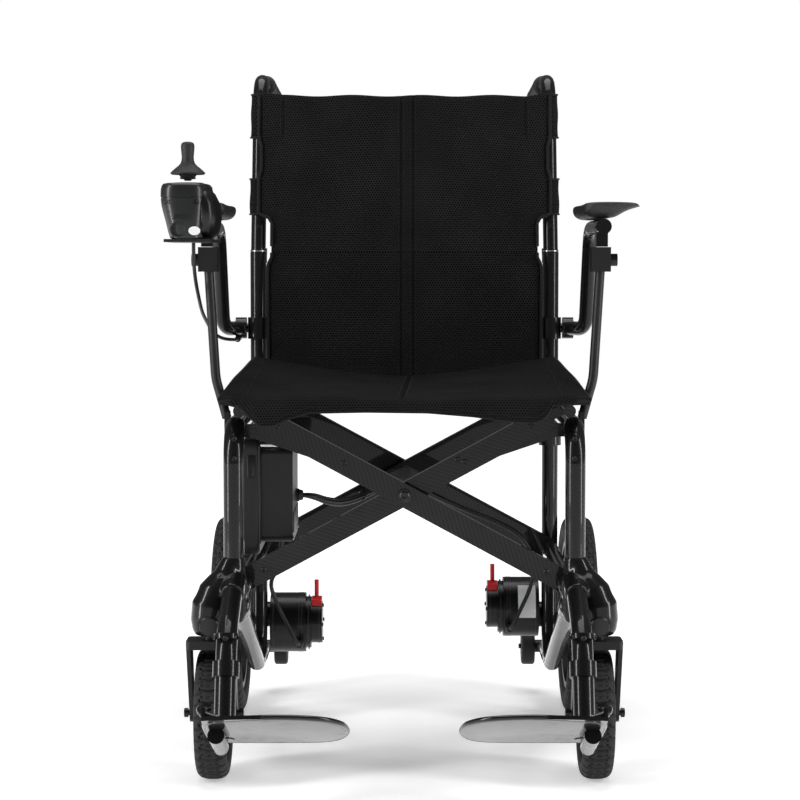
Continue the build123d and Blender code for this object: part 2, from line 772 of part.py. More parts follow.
with BuildPart() as joystick_knob:
    with BuildSketch(Plane.XZ):
        with BuildLine():
            Polyline(
                (0, 5), (4, 5), (4, 24), (20, 20.5), (22.5, 20.5), (22.5, 24), (14, 31),
                (9.6, 36), (8.6, 52), (9.6, 60), (7.5, 64), (0, 64), close=True,
            )
        make_face()
    revolve(axis=Axis.Z)
save(joystick_knob.part.translate((*stick_at, stick_z - 12)), "joystick_knob")

for label, place in button_at.items():
    with BuildPart() as button:
        with BuildSketch(Plane.XY.offset(housing_z[1] - 4)):
            with Locations(place):
                Circle(button_d / 2)
        extrude(amount=6)
        fillet(button.faces().sort_by(Axis.Z)[-1].edges(), 1)
    save(button.part, label)

# ---------------------------------------------------------------- seat, battery and control box
cushion_low = rail_z + seat_rail_d / 2 + GAP
with BuildPart() as seat_cushion:
    with BuildSketch(Plane.YZ.offset(-234)):
        with BuildLine():
            Polyline(
                (leg_y - 12, 480),
                (leg_y - 21, 480),
                (leg_y - 22, 508),
                (leg_y - 12, 516),
                (post_y - 60, 534),
                (post_y - 28, 538),
                (post_y - 28, cushion_low),
                (leg_y - 12, cushion_low),
                close=True,
            )
        make_face()
    extrude(amount=468)
save(seat_cushion.part, "seat_cushion")

battery_x = (-222.0, -197.0)
box_x = (-196.5, -152.0)
with BuildPart() as battery_case:
    block(battery_x, (-88, 160), (288, 446))
    fillet(battery_case.edges().filter_by(Axis.X), 14)
    fillet(battery_case.edges().filter_by(Axis.Z), 5)
save(battery_case.part, "battery_case")

with BuildPart() as control_box:
    block(box_x, (-86, 60), (306, 436))
    fillet(control_box.edges().filter_by(Axis.X), 10)
    with BuildSketch(Plane.YZ.offset(box_x[1])):
        with Locations((20, 360)):
            Circle(9)
    extrude(amount=4)
save(control_box.part, "control_box")


# ---------------------------------------------------------------- cables
def cable(points, diameter):
    """A cable along a hand-chosen route, each bend as large as its two runs allow."""
    route = [Vector(*point) for point in points]
    radii = []
    for before, here, after in zip(route, route[1:], route[2:]):
        turn = radians((here - before).get_angle(after - here))
        shorter = min((here - before).length, (after - here).length)
        radii.append(0.45 * shorter / tan(turn / 2))
    with BuildPart() as lead:
        bent_tube(route, radii, diameter)
    print("bend radii", [round(radius) for radius in radii])
    return lead.part


left_motor_z = rear_axle_z - motor_offset
right_motor_z = rear_axle_z + motor_offset
joystick_route = [
    (-284, -98, tray_top - tray_thickness),
    (-284, -98, 688),
    (-283, -84, 662),
    (-281, -54, 637),
    (-281, -6, 617),
    (-279, 48, 602),
    (-276, 98, 588),
    (-268, 143, 576),
    (-249, 188, gland_z),
    (-249, post_y - 24, gland_z),
]
left_motor_route = [
    (-174, 30, 306),
    (-174, 30, 284),
    (-180, 58, 257),
    (-188, 98, 236),
    (-195, 146, 222),
    (-198, 186, 203),
    (-188, 208, 172),
    (-170, 205, 138),
    (-gland_x, 210, left_motor_z - 26),
    (-gland_x, post_y - 16, left_motor_z - 26),
]
harness_route = [
    (box_x[1] + 4, 20, 360),
    (-130, 20, 360),
    (-110, 52, 348),
    (-88, 98, 341),
    (-62, 144, 345),
    (-34, 187, 355),
    (-12, 192, 355),
]
right_motor_route = [
    (-12, 192, 355),
    (10, 197, 355),
    (42, 208, 340),
    (82, 212, 321),
    (122, 211, 305),
    (158, 208, 290),
    (184, 202, 268),
    (194, 201, 234),
    (188, 207, 200),
    (172, 206, 166),
    (gland_x, 209, right_motor_z - 26),
    (gland_x, post_y - 16, right_motor_z - 26),
]
save(cable(joystick_route, 5), "joystick_cable")
save(cable(left_motor_route, 6), "motor_cable_left")
save(cable(harness_route, 9), "cable_harness")
save(cable(right_motor_route, 6), "motor_cable_right")
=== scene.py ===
"""Looks for a folding power wheelchair: carbon tube frame, black mesh slings, hub gear motors.

Metres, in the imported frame: +Z up, the chair faces -Y, and its right-hand pieces are at +X.
"""

import json
from math import cos, hypot, pi, radians, sin, sqrt

import bmesh
import bpy
import numpy as np
from mathutils import Matrix, Vector


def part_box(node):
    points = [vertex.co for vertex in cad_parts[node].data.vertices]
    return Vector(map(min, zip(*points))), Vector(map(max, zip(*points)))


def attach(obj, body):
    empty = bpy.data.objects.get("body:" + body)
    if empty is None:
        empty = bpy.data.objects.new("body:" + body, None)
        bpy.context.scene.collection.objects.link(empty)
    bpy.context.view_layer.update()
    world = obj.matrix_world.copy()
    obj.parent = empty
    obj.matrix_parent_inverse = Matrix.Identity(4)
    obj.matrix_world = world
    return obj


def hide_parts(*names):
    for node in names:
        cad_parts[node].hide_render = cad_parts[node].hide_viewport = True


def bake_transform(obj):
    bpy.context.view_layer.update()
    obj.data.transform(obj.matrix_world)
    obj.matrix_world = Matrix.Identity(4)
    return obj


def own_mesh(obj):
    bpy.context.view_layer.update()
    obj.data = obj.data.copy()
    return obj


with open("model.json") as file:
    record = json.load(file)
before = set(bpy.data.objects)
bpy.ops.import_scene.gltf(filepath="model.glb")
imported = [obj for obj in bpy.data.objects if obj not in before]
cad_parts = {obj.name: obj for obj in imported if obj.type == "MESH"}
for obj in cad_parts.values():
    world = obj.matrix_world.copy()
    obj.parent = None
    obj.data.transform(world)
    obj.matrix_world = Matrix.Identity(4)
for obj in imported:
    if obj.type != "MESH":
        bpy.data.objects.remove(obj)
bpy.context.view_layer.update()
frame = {"nodes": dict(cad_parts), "record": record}
nodes = frame["nodes"]
SIDES = (("left", -1), ("right", 1))
FRONT, UP = (0.0, -1.0, 0.0), (0.0, 0.0, 1.0)

# places, sizes and angles that several pieces share, in metres and radians
rear_axle_y, rear_axle_z = 0.285, 0.150
front_axle_y, front_axle_z = -0.165, 0.0875
leg_x, leg_y = 0.225, -0.185
knee_y, knee_z, knee_radius = -0.3190, 0.2155, 0.0158
pivot_z, brace_rise = 0.375, 0.539170
tilt = radians(28.33)
motor_radius = 0.0450
motor_offset = 0.012
seam_x, seam_half = 0.004, 0.009
tread_cut = 0.0026


# ---------------------------------------------------------------- shader maths
class Link:
    """A shader socket that does arithmetic by adding Math nodes."""

    def __init__(self, finish, socket):
        self.finish, self.socket = finish, socket

    def maths(self, operation, *values):
        return self.finish.node("ShaderNodeMath", {"operation": operation}, dict(enumerate(values)))

    def __add__(self, other):
        return self.maths("ADD", self, other)

    __radd__ = __add__

    def __sub__(self, other):
        return self.maths("SUBTRACT", self, other)

    def __rsub__(self, other):
        return self.maths("SUBTRACT", other, self)

    def __mul__(self, other):
        return self.maths("MULTIPLY", self, other)

    __rmul__ = __mul__

    def __truediv__(self, other):
        return self.maths("DIVIDE", self, other)

    def __mod__(self, other):
        return self.maths("FLOORED_MODULO", self, other)

    def __pow__(self, other):
        return self.maths("POWER", self, other)

    def __abs__(self):
        return self.maths("ABSOLUTE", self)

    def floor(self):
        return self.maths("FLOOR", self)

    def fract(self):
        return self.maths("FRACT", self)

    def above(self, other):
        return self.maths("GREATER_THAN", self, other)

    def below(self, other):
        return self.maths("LESS_THAN", self, other)

    def largest(self, other):
        return self.maths("MAXIMUM", self, other)

    def smallest(self, other):
        return self.maths("MINIMUM", self, other)

    def ramp(self, low, high, start=0.0, end=1.0):
        """Runs from start to end as the value goes from low to high, smoothly and no further."""
        return self.finish.node(
            "ShaderNodeMapRange",
            {"interpolation_type": "SMOOTHSTEP"},
            {"Value": self, "From Min": low, "From Max": high, "To Min": start, "To Max": end},
        )

    def choose(self, where_one, where_zero):
        return self * where_one + (1 - self) * where_zero


class Finish:
    """One procedural material and the nodes behind it."""

    def __init__(self, name, **constants):
        self.material = bpy.data.materials.new(name)
        self.material.use_nodes = True
        self.tree = self.material.node_tree
        self.surface = self.tree.nodes["Principled BSDF"]
        for label, value in constants.items():
            self.surface.inputs[label.replace("_", " ")].default_value = value

    def node(self, kind, settings=None, inputs=None, output=0):
        """Adds a node: its settings come first, then the values or links of its sockets."""
        made = self.tree.nodes.new(kind)
        for label, value in (settings or {}).items():
            setattr(made, label, value)
        for label, value in (inputs or {}).items():
            self.feed(made.inputs[label], value)
        return Link(self, made.outputs[output])

    def feed(self, socket, value):
        if isinstance(value, Link):
            self.tree.links.new(value.socket, socket)
        else:
            socket.default_value = value

    def place(self, output="Object"):
        return self.node("ShaderNodeTexCoord", output=output)

    def parts(self, vector):
        """The three numbers of a vector."""
        split = self.node("ShaderNodeSeparateXYZ", inputs={0: vector})
        return [Link(self, socket) for socket in split.socket.node.outputs]

    def turned(self, vector, angles):
        return self.node("ShaderNodeMapping", inputs={"Vector": vector, "Rotation": angles})

    def noise(self, scale, detail=3.0, rough=0.5, vector=None, distortion=0.0):
        return self.node(
            "ShaderNodeTexNoise",
            inputs={"Vector": vector or self.place(), "Scale": scale, "Detail": detail, "Roughness": rough,
                    "Distortion": distortion},
        )

    def cells(self, scale, vector=None, feature="F1", randomness=1.0):
        return self.node(
            "ShaderNodeTexVoronoi",
            {"feature": feature},
            {"Vector": vector or self.place(), "Scale": scale, "Randomness": randomness},
        )

    def colours(self, factor, first, second):
        return self.node(
            "ShaderNodeMix", {"data_type": "RGBA"}, {0: factor, 6: (*first, 1.0), 7: (*second, 1.0)}, output=2
        )

    def relief(self, height, depth, strength=1.0):
        """Bump of a height from 0 to 1 that stands for a depth in metres."""
        return self.node("ShaderNodeBump", inputs={"Strength": strength, "Distance": depth, "Height": height})

    def set(self, **links):
        for label, value in links.items():
            self.feed(self.surface.inputs[label.replace("_", " ")], value)
        return self.material


def grey(value):
    return (value, value, value)


# ---------------------------------------------------------------- finishes
def worn(finish, base, worn_colour, amount=0.35):
    """Base colour with soft rubbed patches."""
    patches = finish.noise(24.0, 5.0, 0.62).ramp(0.54, 0.74) * amount
    return finish.colours(patches, base, worn_colour)


def face_plane(finish, turn=(0.0, 0.0, 0.0)):
    """Two lengths along a surface, taken in the plane that it faces most."""
    place = finish.turned(finish.place(), turn)
    x, y, z = finish.parts(place)
    nx, ny, nz = (abs(part) for part in finish.parts(finish.turned(finish.place("Normal"), turn)))
    sideways = nx.above(ny.largest(nz))
    level = nz.above(nx.largest(ny))
    return sideways.choose(y, x), level.choose(y, z)


def carbon_finish(name, tow=0.0015, turn=(0.0, 0.0, 0.0), light=0.008, coat=1.0, glaze=1.27):
    """Twill of carbon tows under clear lacquer; the tows' colour carries a painted sheen."""
    finish = Finish(name, Specular_IOR_Level=0.12, Coat_Roughness=0.03, Coat_IOR=glaze)
    across, along = face_plane(finish, turn)
    warp, weft = across / tow, along / tow
    over = ((warp.floor() + weft.floor()) % 4.0).below(1.5)
    warp_edge = abs(warp.fract() - 0.5) * 2.0
    weft_edge = abs(weft.fract() - 0.5) * 2.0
    edge = over.choose(warp_edge, weft_edge)
    # fine painted streaks of sheen along each tow's fibres
    fibre_sheen = over.choose((warp * 9.0).fract(), (weft * 9.0).fract())
    # crown: each tow's rounded top, used for the bump and also for painted sheen
    crown = 1.0 - edge ** 3.0
    # painted sheen: warp tows lighter than weft tows, each tow lighter at its crown than at its edges, plus fibre
    # streaks; fixed colour for highlights that really change with angle
    shade = over.choose(1.0, 0.16) * (crown * 0.75 + 0.25) * (fibre_sheen * 0.3 + 0.7)
    dust = finish.noise(60.0, 4.0, 0.6).ramp(0.52, 0.8)
    return finish.set(
        Base_Color=finish.colours(shade, grey(0.0015), grey(light)),
        Roughness=over.choose(0.28, 0.46) + dust * 0.12,
        Coat_Weight=coat - dust * 0.25,
        Normal=finish.relief(crown, 0.0001, 0.15),
    )


def mesh_finish(name, pitch=0.0040, uv=True):
    """Black spacer mesh: a honeycomb of knitted loops over a dark backing."""
    finish = Finish(name, Specular_IOR_Level=0.06)
    if uv:
        across, along, _ = finish.parts(finish.node("ShaderNodeUVMap", {"uv_map": "cloth"}))
    else:
        across, along = face_plane(finish)
    rise = sqrt(3.0)
    gaps = []
    for shift in (0.0, 0.5):
        first = abs((across / pitch + shift).fract() - 0.5)
        second = abs((along / (pitch * rise) + shift).fract() - 0.5) * rise
        gaps.append((first * first + second * second) ** 0.5)
    gap = gaps[0].smallest(gaps[1])
    thread = gap.ramp(0.2, 0.4)
    knit = abs(((across + along) / (pitch * 0.25)).fract() - 0.5) * 2.0
    shade = finish.noise(14.0, 3.0).ramp(0.3, 0.75)
    return finish.set(
        Base_Color=finish.colours(thread * (knit * 0.45 + 0.55) * (shade * 0.3 + 0.7), grey(0.0004), grey(0.0170)),
        Roughness=0.95 - thread * 0.2,
        Normal=finish.relief(thread * (knit * 0.25 + 0.75), 0.0008, 0.7),
    )


def weave_finish(name, colour=0.0035, pitch=0.0011):
    """Tight woven tape for bindings and sleeves."""
    finish = Finish(name, Specular_IOR_Level=0.3, Sheen_Weight=0.02, Sheen_Roughness=0.5)
    across, along = face_plane(finish)
    rib = abs((along / pitch).fract() - 0.5) * 2.0
    cross = abs((across / pitch + (along / pitch).floor() * 0.5).fract() - 0.5) * 2.0
    shade = (rib * 0.6 + cross * 0.4) * (finish.noise(30.0) * 0.5 + 0.6)
    return finish.set(
        Base_Color=finish.colours(shade, grey(colour * 0.25), grey(colour)),
        Roughness=0.93 - rib * 0.16,
        Normal=finish.relief(rib * 0.7 + cross * 0.3, 0.0003, 0.6),
    )


def paint_finish(name, colour=(0.004, 0.004, 0.0044), rough=0.38, grain=900.0, depth=0.00006, metal=0.0, coat=0.0,
                 worn_colour=(0.022, 0.022, 0.023)):
    """Powder coat or moulded plastic: fine grain, uneven gloss and rubbed patches."""
    finish = Finish(name, Specular_IOR_Level=0.35, Coat_Roughness=0.15, Coat_Weight=coat)
    speck = finish.noise(grain, 2.0)
    broad = finish.noise(18.0, 4.0, 0.6)
    return finish.set(
        Base_Color=worn(finish, colour, worn_colour, 0.22),
        Roughness=broad * 0.16 + (rough - 0.08) + speck * 0.05,
        Metallic=metal,
        Normal=finish.relief(speck, depth, 0.8),
    )


def rubber_finish(name, colour=(0.009, 0.009, 0.009), rough=0.6, dust_colour=(0.025, 0.024, 0.023),
                  cut=False):
    """Soft rubber with a trace of dust; with cut set, painted shade also darkens the tread grooves."""
    finish = Finish(name, Specular_IOR_Level=0.4)
    fine = finish.noise(700.0, 3.0)
    dust = finish.noise(40.0, 6.0, 0.65).ramp(0.5, 0.8) * 0.4 + fine * 0.12
    if cut:
        # painted shade: over the tread the dust mask is lifted, and it falls to nothing where the tread is cut, so
        # the grooves take the darkest rubber colour
        depth = finish.node("ShaderNodeAttribute", {"attribute_name": "cut"}, output=2)
        dust = (dust * 0.6 + 0.36) * (1.0 - depth)
    return finish.set(
        Base_Color=finish.colours(dust, colour, dust_colour),
        Roughness=dust * 0.2 + rough,
        Normal=finish.relief(fine, 0.00012, 0.8),
    )


def leather_finish(name, colour=(0.012, 0.012, 0.0125)):
    """Moulded skin with a small pebbled grain."""
    finish = Finish(name, Specular_IOR_Level=0.45)
    pebble = finish.cells(420.0, feature="DISTANCE_TO_EDGE").ramp(0.02, 0.28)
    broad = finish.noise(25.0, 4.0)
    return finish.set(
        Base_Color=finish.colours(pebble * (broad * 0.6 + 0.4), tuple(part * 0.45 for part in colour), colour),
        Roughness=broad * 0.18 + 0.42 - pebble * 0.08,
        Normal=finish.relief(pebble, 0.00022, 0.8),
    )


def steel_finish(name, colour=(0.03, 0.03, 0.032), rough=0.3):
    """Blackened or zinc-plated steel with fine turning marks."""
    finish = Finish(name)
    marks = finish.noise(380.0, 4.0, 0.7)
    return finish.set(
        Base_Color=worn(finish, colour, tuple(min(1.0, part * 3.0) for part in colour), 0.4),
        Roughness=marks * 0.2 + (rough - 0.1),
        Metallic=0.95,
        Normal=finish.relief(marks, 0.00004, 0.6),
    )


def paper_finish(name):
    """A blank paper label under a dull film."""
    finish = Finish(name, Specular_IOR_Level=0.4)
    fibre = finish.noise(520.0, 5.0, 0.65, distortion=0.6)
    stain = finish.noise(30.0, 3.0).ramp(0.45, 0.75)
    return finish.set(
        Base_Color=finish.colours(fibre * 0.4 + stain * 0.35, (0.74, 0.75, 0.76), (0.55, 0.56, 0.57)),
        Roughness=fibre * 0.2 + 0.38,
        Normal=finish.relief(fibre, 0.00004, 0.5),
    )


carbon = carbon_finish("carbon_tube")
carbon_bar = {
    "left": carbon_finish("carbon_bar_left", 0.0018, (0.0, tilt, 0.0), 0.010),
    "right": carbon_finish("carbon_bar_right", 0.0018, (0.0, -tilt, 0.0), 0.010),
}
carbon_shell = carbon_finish("carbon_shell", 0.0014, light=0.007)
carbon_gloss = carbon_finish("carbon_gloss", 0.0012, light=0.006, coat=0.9, glaze=1.42)
spacer_mesh = mesh_finish("spacer_mesh")
spacer_mesh_plain = mesh_finish("spacer_mesh_sleeve", uv=False)
binding = weave_finish("woven_binding")
thread_black = weave_finish("black_thread", 0.009, 0.0006)
powder_black = paint_finish("powder_black", rough=0.42)
motor_black = paint_finish("motor_black", (0.0035, 0.0035, 0.0037), 0.3, 1200.0, 0.00003, 0.1, 0.1)
motor_grey = paint_finish("motor_cap_grey", (0.035, 0.035, 0.037), 0.3, 1200.0, 0.00003, 0.3)
# tyre rubber with painted shade in its tread grooves, read from the tyre's cut attribute
tyre_rubber = rubber_finish("tyre_rubber", (0.001, 0.001, 0.001), 0.66, (0.03, 0.03, 0.029), cut=True)
rim_plastic = paint_finish("rim_plastic", (0.0045, 0.0045, 0.0045), 0.34, 800.0, 0.00005)
soft_rubber = rubber_finish("soft_rubber")
lead_rubber = rubber_finish("lead_rubber", (0.004, 0.004, 0.004), 0.42, (0.012, 0.012, 0.012))
red_plastic = paint_finish("red_plastic", (0.62, 0.008, 0.012), 0.32, 700.0, 0.00004,
                           worn_colour=(0.75, 0.05, 0.05))
pad_skin = leather_finish("pad_skin")
latch_plastic = paint_finish("latch_plastic", (0.004, 0.004, 0.004), 0.3)
case_grey = paint_finish("case_grey", (0.012, 0.0125, 0.0135), 0.4, 1500.0, 0.00004)
case_dark = paint_finish("case_dark", (0.006, 0.0062, 0.0066), 0.4, 1500.0, 0.00005)
control_plastic = paint_finish("control_plastic", (0.009, 0.0095, 0.0102), 0.34, 1400.0, 0.00004, coat=0.15)
key_rubber = rubber_finish("key_rubber", (0.09, 0.095, 0.1), 0.5, (0.2, 0.2, 0.2))
black_steel = steel_finish("black_steel")
zinc_steel = steel_finish("zinc_steel", (0.42, 0.42, 0.43), 0.28)
white_plastic = paint_finish("white_plastic", (0.72, 0.72, 0.7), 0.4, 900.0, 0.00003, worn_colour=(0.6, 0.6, 0.58))
paper = paper_finish("blank_label")
socket_dark = paint_finish("socket_dark", (0.003, 0.003, 0.003), 0.5)

slot_finish = {
    "carbon": carbon, "black_paint": powder_black, "steel": black_steel, "tyre": tyre_rubber, "rim": rim_plastic,
    "rubber": soft_rubber, "motor": motor_black, "red_plastic": red_plastic, "pad": pad_skin,
    "latch": latch_plastic, "mesh_fabric": spacer_mesh, "controller": control_plastic, "button": key_rubber,
    "case": case_dark,
}
node_slot = {part["node"]: part["material_slot"] for part in frame["record"]["subparts"]}


def wear(node, material):
    """Gives a CAD node's object its material."""
    slots = nodes[node].material_slots
    if not slots:
        nodes[node].data.materials.append(material)
    for slot in slots:
        slot.material = material


for node, slot in node_slot.items():
    wear(node, slot_finish[slot])
for side, _ in SIDES:
    wear(f"cross_brace_{side}", carbon_bar[side])
    wear(f"caster_housing_{side}", carbon_shell)
wear("battery_case", case_grey)


# ---------------------------------------------------------------- mesh making
def grow(rings, closed_rows=False, caps=True):
    """Skins a row of equal rings of points and closes its ends."""
    work = bmesh.new()
    made = [[work.verts.new(point) for point in ring] for ring in rings]
    count = len(made[0])
    pairs = list(zip(made, made[1:])) + ([(made[-1], made[0])] if closed_rows else [])
    for low, high in pairs:
        for i in range(count):
            j = (i + 1) % count
            work.faces.new((low[i], low[j], high[j], high[i]))
    if caps and not closed_rows:
        work.faces.new(made[0][::-1])
        work.faces.new(made[-1])
    bmesh.ops.recalc_face_normals(work, faces=work.faces)
    mesh = bpy.data.meshes.new("skin")
    work.to_mesh(mesh)
    work.free()
    return mesh


def joined(meshes):
    """Several meshes as one."""
    work = bmesh.new()
    for mesh in meshes:
        work.from_mesh(mesh)
        bpy.data.meshes.remove(mesh)
    mesh = bpy.data.meshes.new("joined")
    work.to_mesh(mesh)
    work.free()
    return mesh


def axes_of(direction):
    """Two unit vectors square to a direction."""
    along = Vector(direction).normalized()
    helper = Vector((0, 0, 1)) if abs(along.z) < 0.9 else Vector((1, 0, 0))
    side = along.cross(helper).normalized()
    return side, along.cross(side).normalized(), along


def around(segments):
    """The angles of a full turn."""
    return [2 * pi * i / segments for i in range(segments)]


def lathe(profile, centre, direction, segments=48, ring=False):
    """Turns (distance along the axis, radius) pairs about an axis; a ring's outline closes on itself."""
    side, up, along = axes_of(direction)
    rings = [
        [Vector(centre) + along * distance + (side * cos(angle) + up * sin(angle)) * max(radius, 0.00002)
         for angle in around(segments)]
        for distance, radius in profile
    ]
    return grow(rings, closed_rows=ring)


def collar(profile, centre, direction, segments=48):
    return lathe(profile, centre, direction, segments, ring=True)


def evaluated_mesh(carrier):
    """The mesh of an object with its modifiers applied."""
    return bpy.data.meshes.new_from_object(carrier.evaluated_get(bpy.context.evaluated_depsgraph_get()))


def route(curve, kind, points):
    """Adds a spline through points to a curve."""
    spline = curve.splines.new(kind)
    spline.points.add(len(points) - 1)
    for target, point in zip(spline.points, points):
        target.co = (*point, 1.0)
    return spline


def rounded_box(low, high, radius, segments=3):
    """A box with rounded edges."""
    work = bmesh.new()
    bmesh.ops.create_cube(work, size=1.0)
    size = Vector(high) - Vector(low)
    middle = (Vector(high) + Vector(low)) / 2
    for vertex in work.verts:
        vertex.co = middle + Vector(a * b for a, b in zip(vertex.co, size))
    bmesh.ops.bevel(work, geom=list(work.edges), offset=radius, segments=segments, affect="EDGES", profile=0.5)
    mesh = bpy.data.meshes.new("box")
    work.to_mesh(mesh)
    work.free()
    return mesh


def strip(points, radius, resolution=6, kind="POLY", closed=False):
    """A round cord along points, as a mesh."""
    curve = bpy.data.curves.new("cord", "CURVE")
    curve.dimensions = "3D"
    spline = route(curve, kind, points)
    spline.use_cyclic_u = closed
    if kind == "NURBS":
        spline.order_u = 3
        spline.use_endpoint_u = True
        spline.resolution_u = 10
    curve.bevel_depth = radius
    curve.bevel_resolution = resolution
    curve.use_fill_caps = not closed
    carrier = bpy.data.objects.new("cord", curve)
    bpy.context.collection.objects.link(carrier)
    mesh = evaluated_mesh(carrier)
    bpy.data.objects.remove(carrier)
    bpy.data.curves.remove(curve)
    return mesh


def add(name, mesh, material, body, stands_for=()):
    """Makes a finished piece: material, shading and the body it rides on."""
    mesh.name = name
    mesh.materials.clear()
    mesh.materials.append(material)
    mesh.polygons.foreach_set("use_smooth", [True] * len(mesh.polygons))
    mesh.set_sharp_from_angle(angle=radians(38))
    piece = bpy.data.objects.new(name, mesh)
    bpy.context.collection.objects.link(piece)
    if body:
        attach(piece, body)
    if stands_for:
        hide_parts(*stands_for)
    return piece


# ---------------------------------------------------------------- repeated pieces
class Repeat:
    """A geometry node tree with named inputs."""

    def __init__(self, name, **inputs):
        self.tree = bpy.data.node_groups.new(name, "GeometryNodeTree")
        interface = self.tree.interface
        interface.new_socket("Geometry", in_out="INPUT", socket_type="NodeSocketGeometry")
        interface.new_socket("Geometry", in_out="OUTPUT", socket_type="NodeSocketGeometry")
        self.inputs = {}
        for label, (kind, value) in inputs.items():
            socket = interface.new_socket(label, in_out="INPUT", socket_type=kind)
            if value is not None:
                socket.default_value = value
            self.inputs[label] = socket.identifier
        self.start = self.tree.nodes.new("NodeGroupInput")
        self.end = self.tree.nodes.new("NodeGroupOutput")

    def node(self, kind, settings=None, inputs=None):
        made = self.tree.nodes.new(kind)
        for label, value in (settings or {}).items():
            setattr(made, label, value)
        for label, value in (inputs or {}).items():
            if isinstance(value, bpy.types.NodeSocket):
                self.tree.links.new(value, made.inputs[label])
            else:
                made.inputs[label].default_value = value
        return made.outputs

    def close(self, instances):
        """Makes the instances real, gives them their material and ends the tree."""
        real = self.node("GeometryNodeRealizeInstances", inputs={"Geometry": instances})
        done = self.node(
            "GeometryNodeSetMaterial",
            inputs={"Geometry": real["Geometry"], "Material": self.start.outputs["material"]},
        )
        self.tree.links.new(done["Geometry"], self.end.inputs["Geometry"])

    def run(self, carrier, **values):
        """The mesh that the tree makes from an object, which is then removed."""
        bpy.context.collection.objects.link(carrier)
        modifier = carrier.modifiers.new("repeat", "NODES")
        modifier.node_group = self.tree
        for label, value in values.items():
            modifier[self.inputs[label]] = value
        mesh = evaluated_mesh(carrier)
        carrier.modifiers.remove(modifier)
        bpy.data.objects.remove(carrier)
        return mesh


def stitch_tree():
    """Short thread stitches along a curve."""
    tree = Repeat(
        "stitches", spacing=("NodeSocketFloat", 0.0045), length=("NodeSocketFloat", 0.003),
        radius=("NodeSocketFloat", 0.0004), material=("NodeSocketMaterial", None),
    )
    points = tree.node(
        "GeometryNodeCurveToPoints", {"mode": "LENGTH"},
        {"Curve": tree.start.outputs["Geometry"], "Length": tree.start.outputs["spacing"]},
    )
    stitch = tree.node(
        "GeometryNodeMeshCylinder", inputs={
            "Vertices": 6, "Radius": tree.start.outputs["radius"], "Depth": tree.start.outputs["length"]},
    )
    placed = tree.node(
        "GeometryNodeInstanceOnPoints",
        inputs={"Points": points["Points"], "Instance": stitch["Mesh"], "Rotation": points["Rotation"]},
    )
    tree.close(placed["Instances"])
    return tree


def copy_tree():
    """Copies of one shape on points, each turned to the point's facing."""
    tree = Repeat("copies", shape=("NodeSocketObject", None), material=("NodeSocketMaterial", None))
    shape = tree.node("GeometryNodeObjectInfo", inputs={"Object": tree.start.outputs["shape"]})
    facing = tree.node("GeometryNodeInputNamedAttribute", {"data_type": "FLOAT_VECTOR"}, {"Name": "facing"})
    turn = tree.node(
        "FunctionNodeAlignRotationToVector", {"axis": "Z"}, {"Vector": facing["Attribute"]},
    )
    placed = tree.node(
        "GeometryNodeInstanceOnPoints",
        inputs={"Points": tree.start.outputs["Geometry"], "Instance": shape["Geometry"],
                "Rotation": turn["Rotation"]},
    )
    tree.close(placed["Instances"])
    return tree


def ring_tree():
    """Copies of a mesh turned round the X axis."""
    tree = Repeat("round_axle", count=("NodeSocketInt", 8), material=("NodeSocketMaterial", None))
    spots = tree.node(
        "GeometryNodeMeshLine", inputs={"Count": tree.start.outputs["count"], "Offset": (0.0, 0.0, 0.0)}
    )
    index = tree.node("GeometryNodeInputIndex")
    share = tree.node(
        "ShaderNodeMath", {"operation": "DIVIDE"}, {0: index["Index"], 1: tree.start.outputs["count"]}
    )
    angle = tree.node("ShaderNodeMath", {"operation": "MULTIPLY"}, {0: share["Value"], 1: 2 * pi})
    turn = tree.node("ShaderNodeCombineXYZ", inputs={"X": angle["Value"]})
    placed = tree.node(
        "GeometryNodeInstanceOnPoints",
        inputs={"Points": spots["Mesh"], "Instance": tree.start.outputs["Geometry"], "Rotation": turn["Vector"]},
    )
    tree.close(placed["Instances"])
    return tree


stitch_rows, copies, round_axle = stitch_tree(), copy_tree(), ring_tree()


def stitches(paths, spacing=0.0046, length=0.0031, radius=0.00045):
    """Stitches along several lines of points, as one mesh."""
    curve = bpy.data.curves.new("seam", "CURVE")
    curve.dimensions = "3D"
    for path in paths:
        route(curve, "POLY", path)
    return stitch_rows.run(
        bpy.data.objects.new("seam", curve), spacing=spacing, length=length, radius=radius, material=thread_black
    )


def scattered(shape, spots, material):
    """One shape at several (place, facing) spots, as one mesh."""
    mesh = bpy.data.meshes.new("spots")
    mesh.from_pydata([place for place, _ in spots], [], [])
    facing = mesh.attributes.new("facing", "FLOAT_VECTOR", "POINT")
    facing.data.foreach_set("vector", [part for _, way in spots for part in way])
    pattern = bpy.data.objects.new("pattern", shape)
    made = copies.run(bpy.data.objects.new("spots", mesh), shape=pattern, material=material)
    bpy.data.objects.remove(pattern)
    return made


def about_axle(mesh, count, centre, material):
    """Copies of a mesh round an axle that lies along X."""
    made = round_axle.run(bpy.data.objects.new("part", mesh), count=count, material=material)
    made.transform(Matrix.Translation(centre))
    return made


def socket_screw(radius, height, segments=24):
    """A cap screw with a six-sided socket, its head standing along +Z."""
    rings = []
    socket = radius * 0.52
    for level, size, sides in (
        (-0.001, radius, 0), (height * 0.82, radius, 0), (height, radius * 0.86, 0),
        (height, socket * 1.02, 6), (height * 0.35, socket, 6), (height * 0.3, socket * 0.3, 6),
    ):
        ring = []
        for angle in around(segments):
            reach = size / cos((angle % (pi / 3)) - pi / 6) * cos(pi / 6) if sides else size
            ring.append((reach * cos(angle), reach * sin(angle), level))
        rings.append(ring)
    return grow(rings)


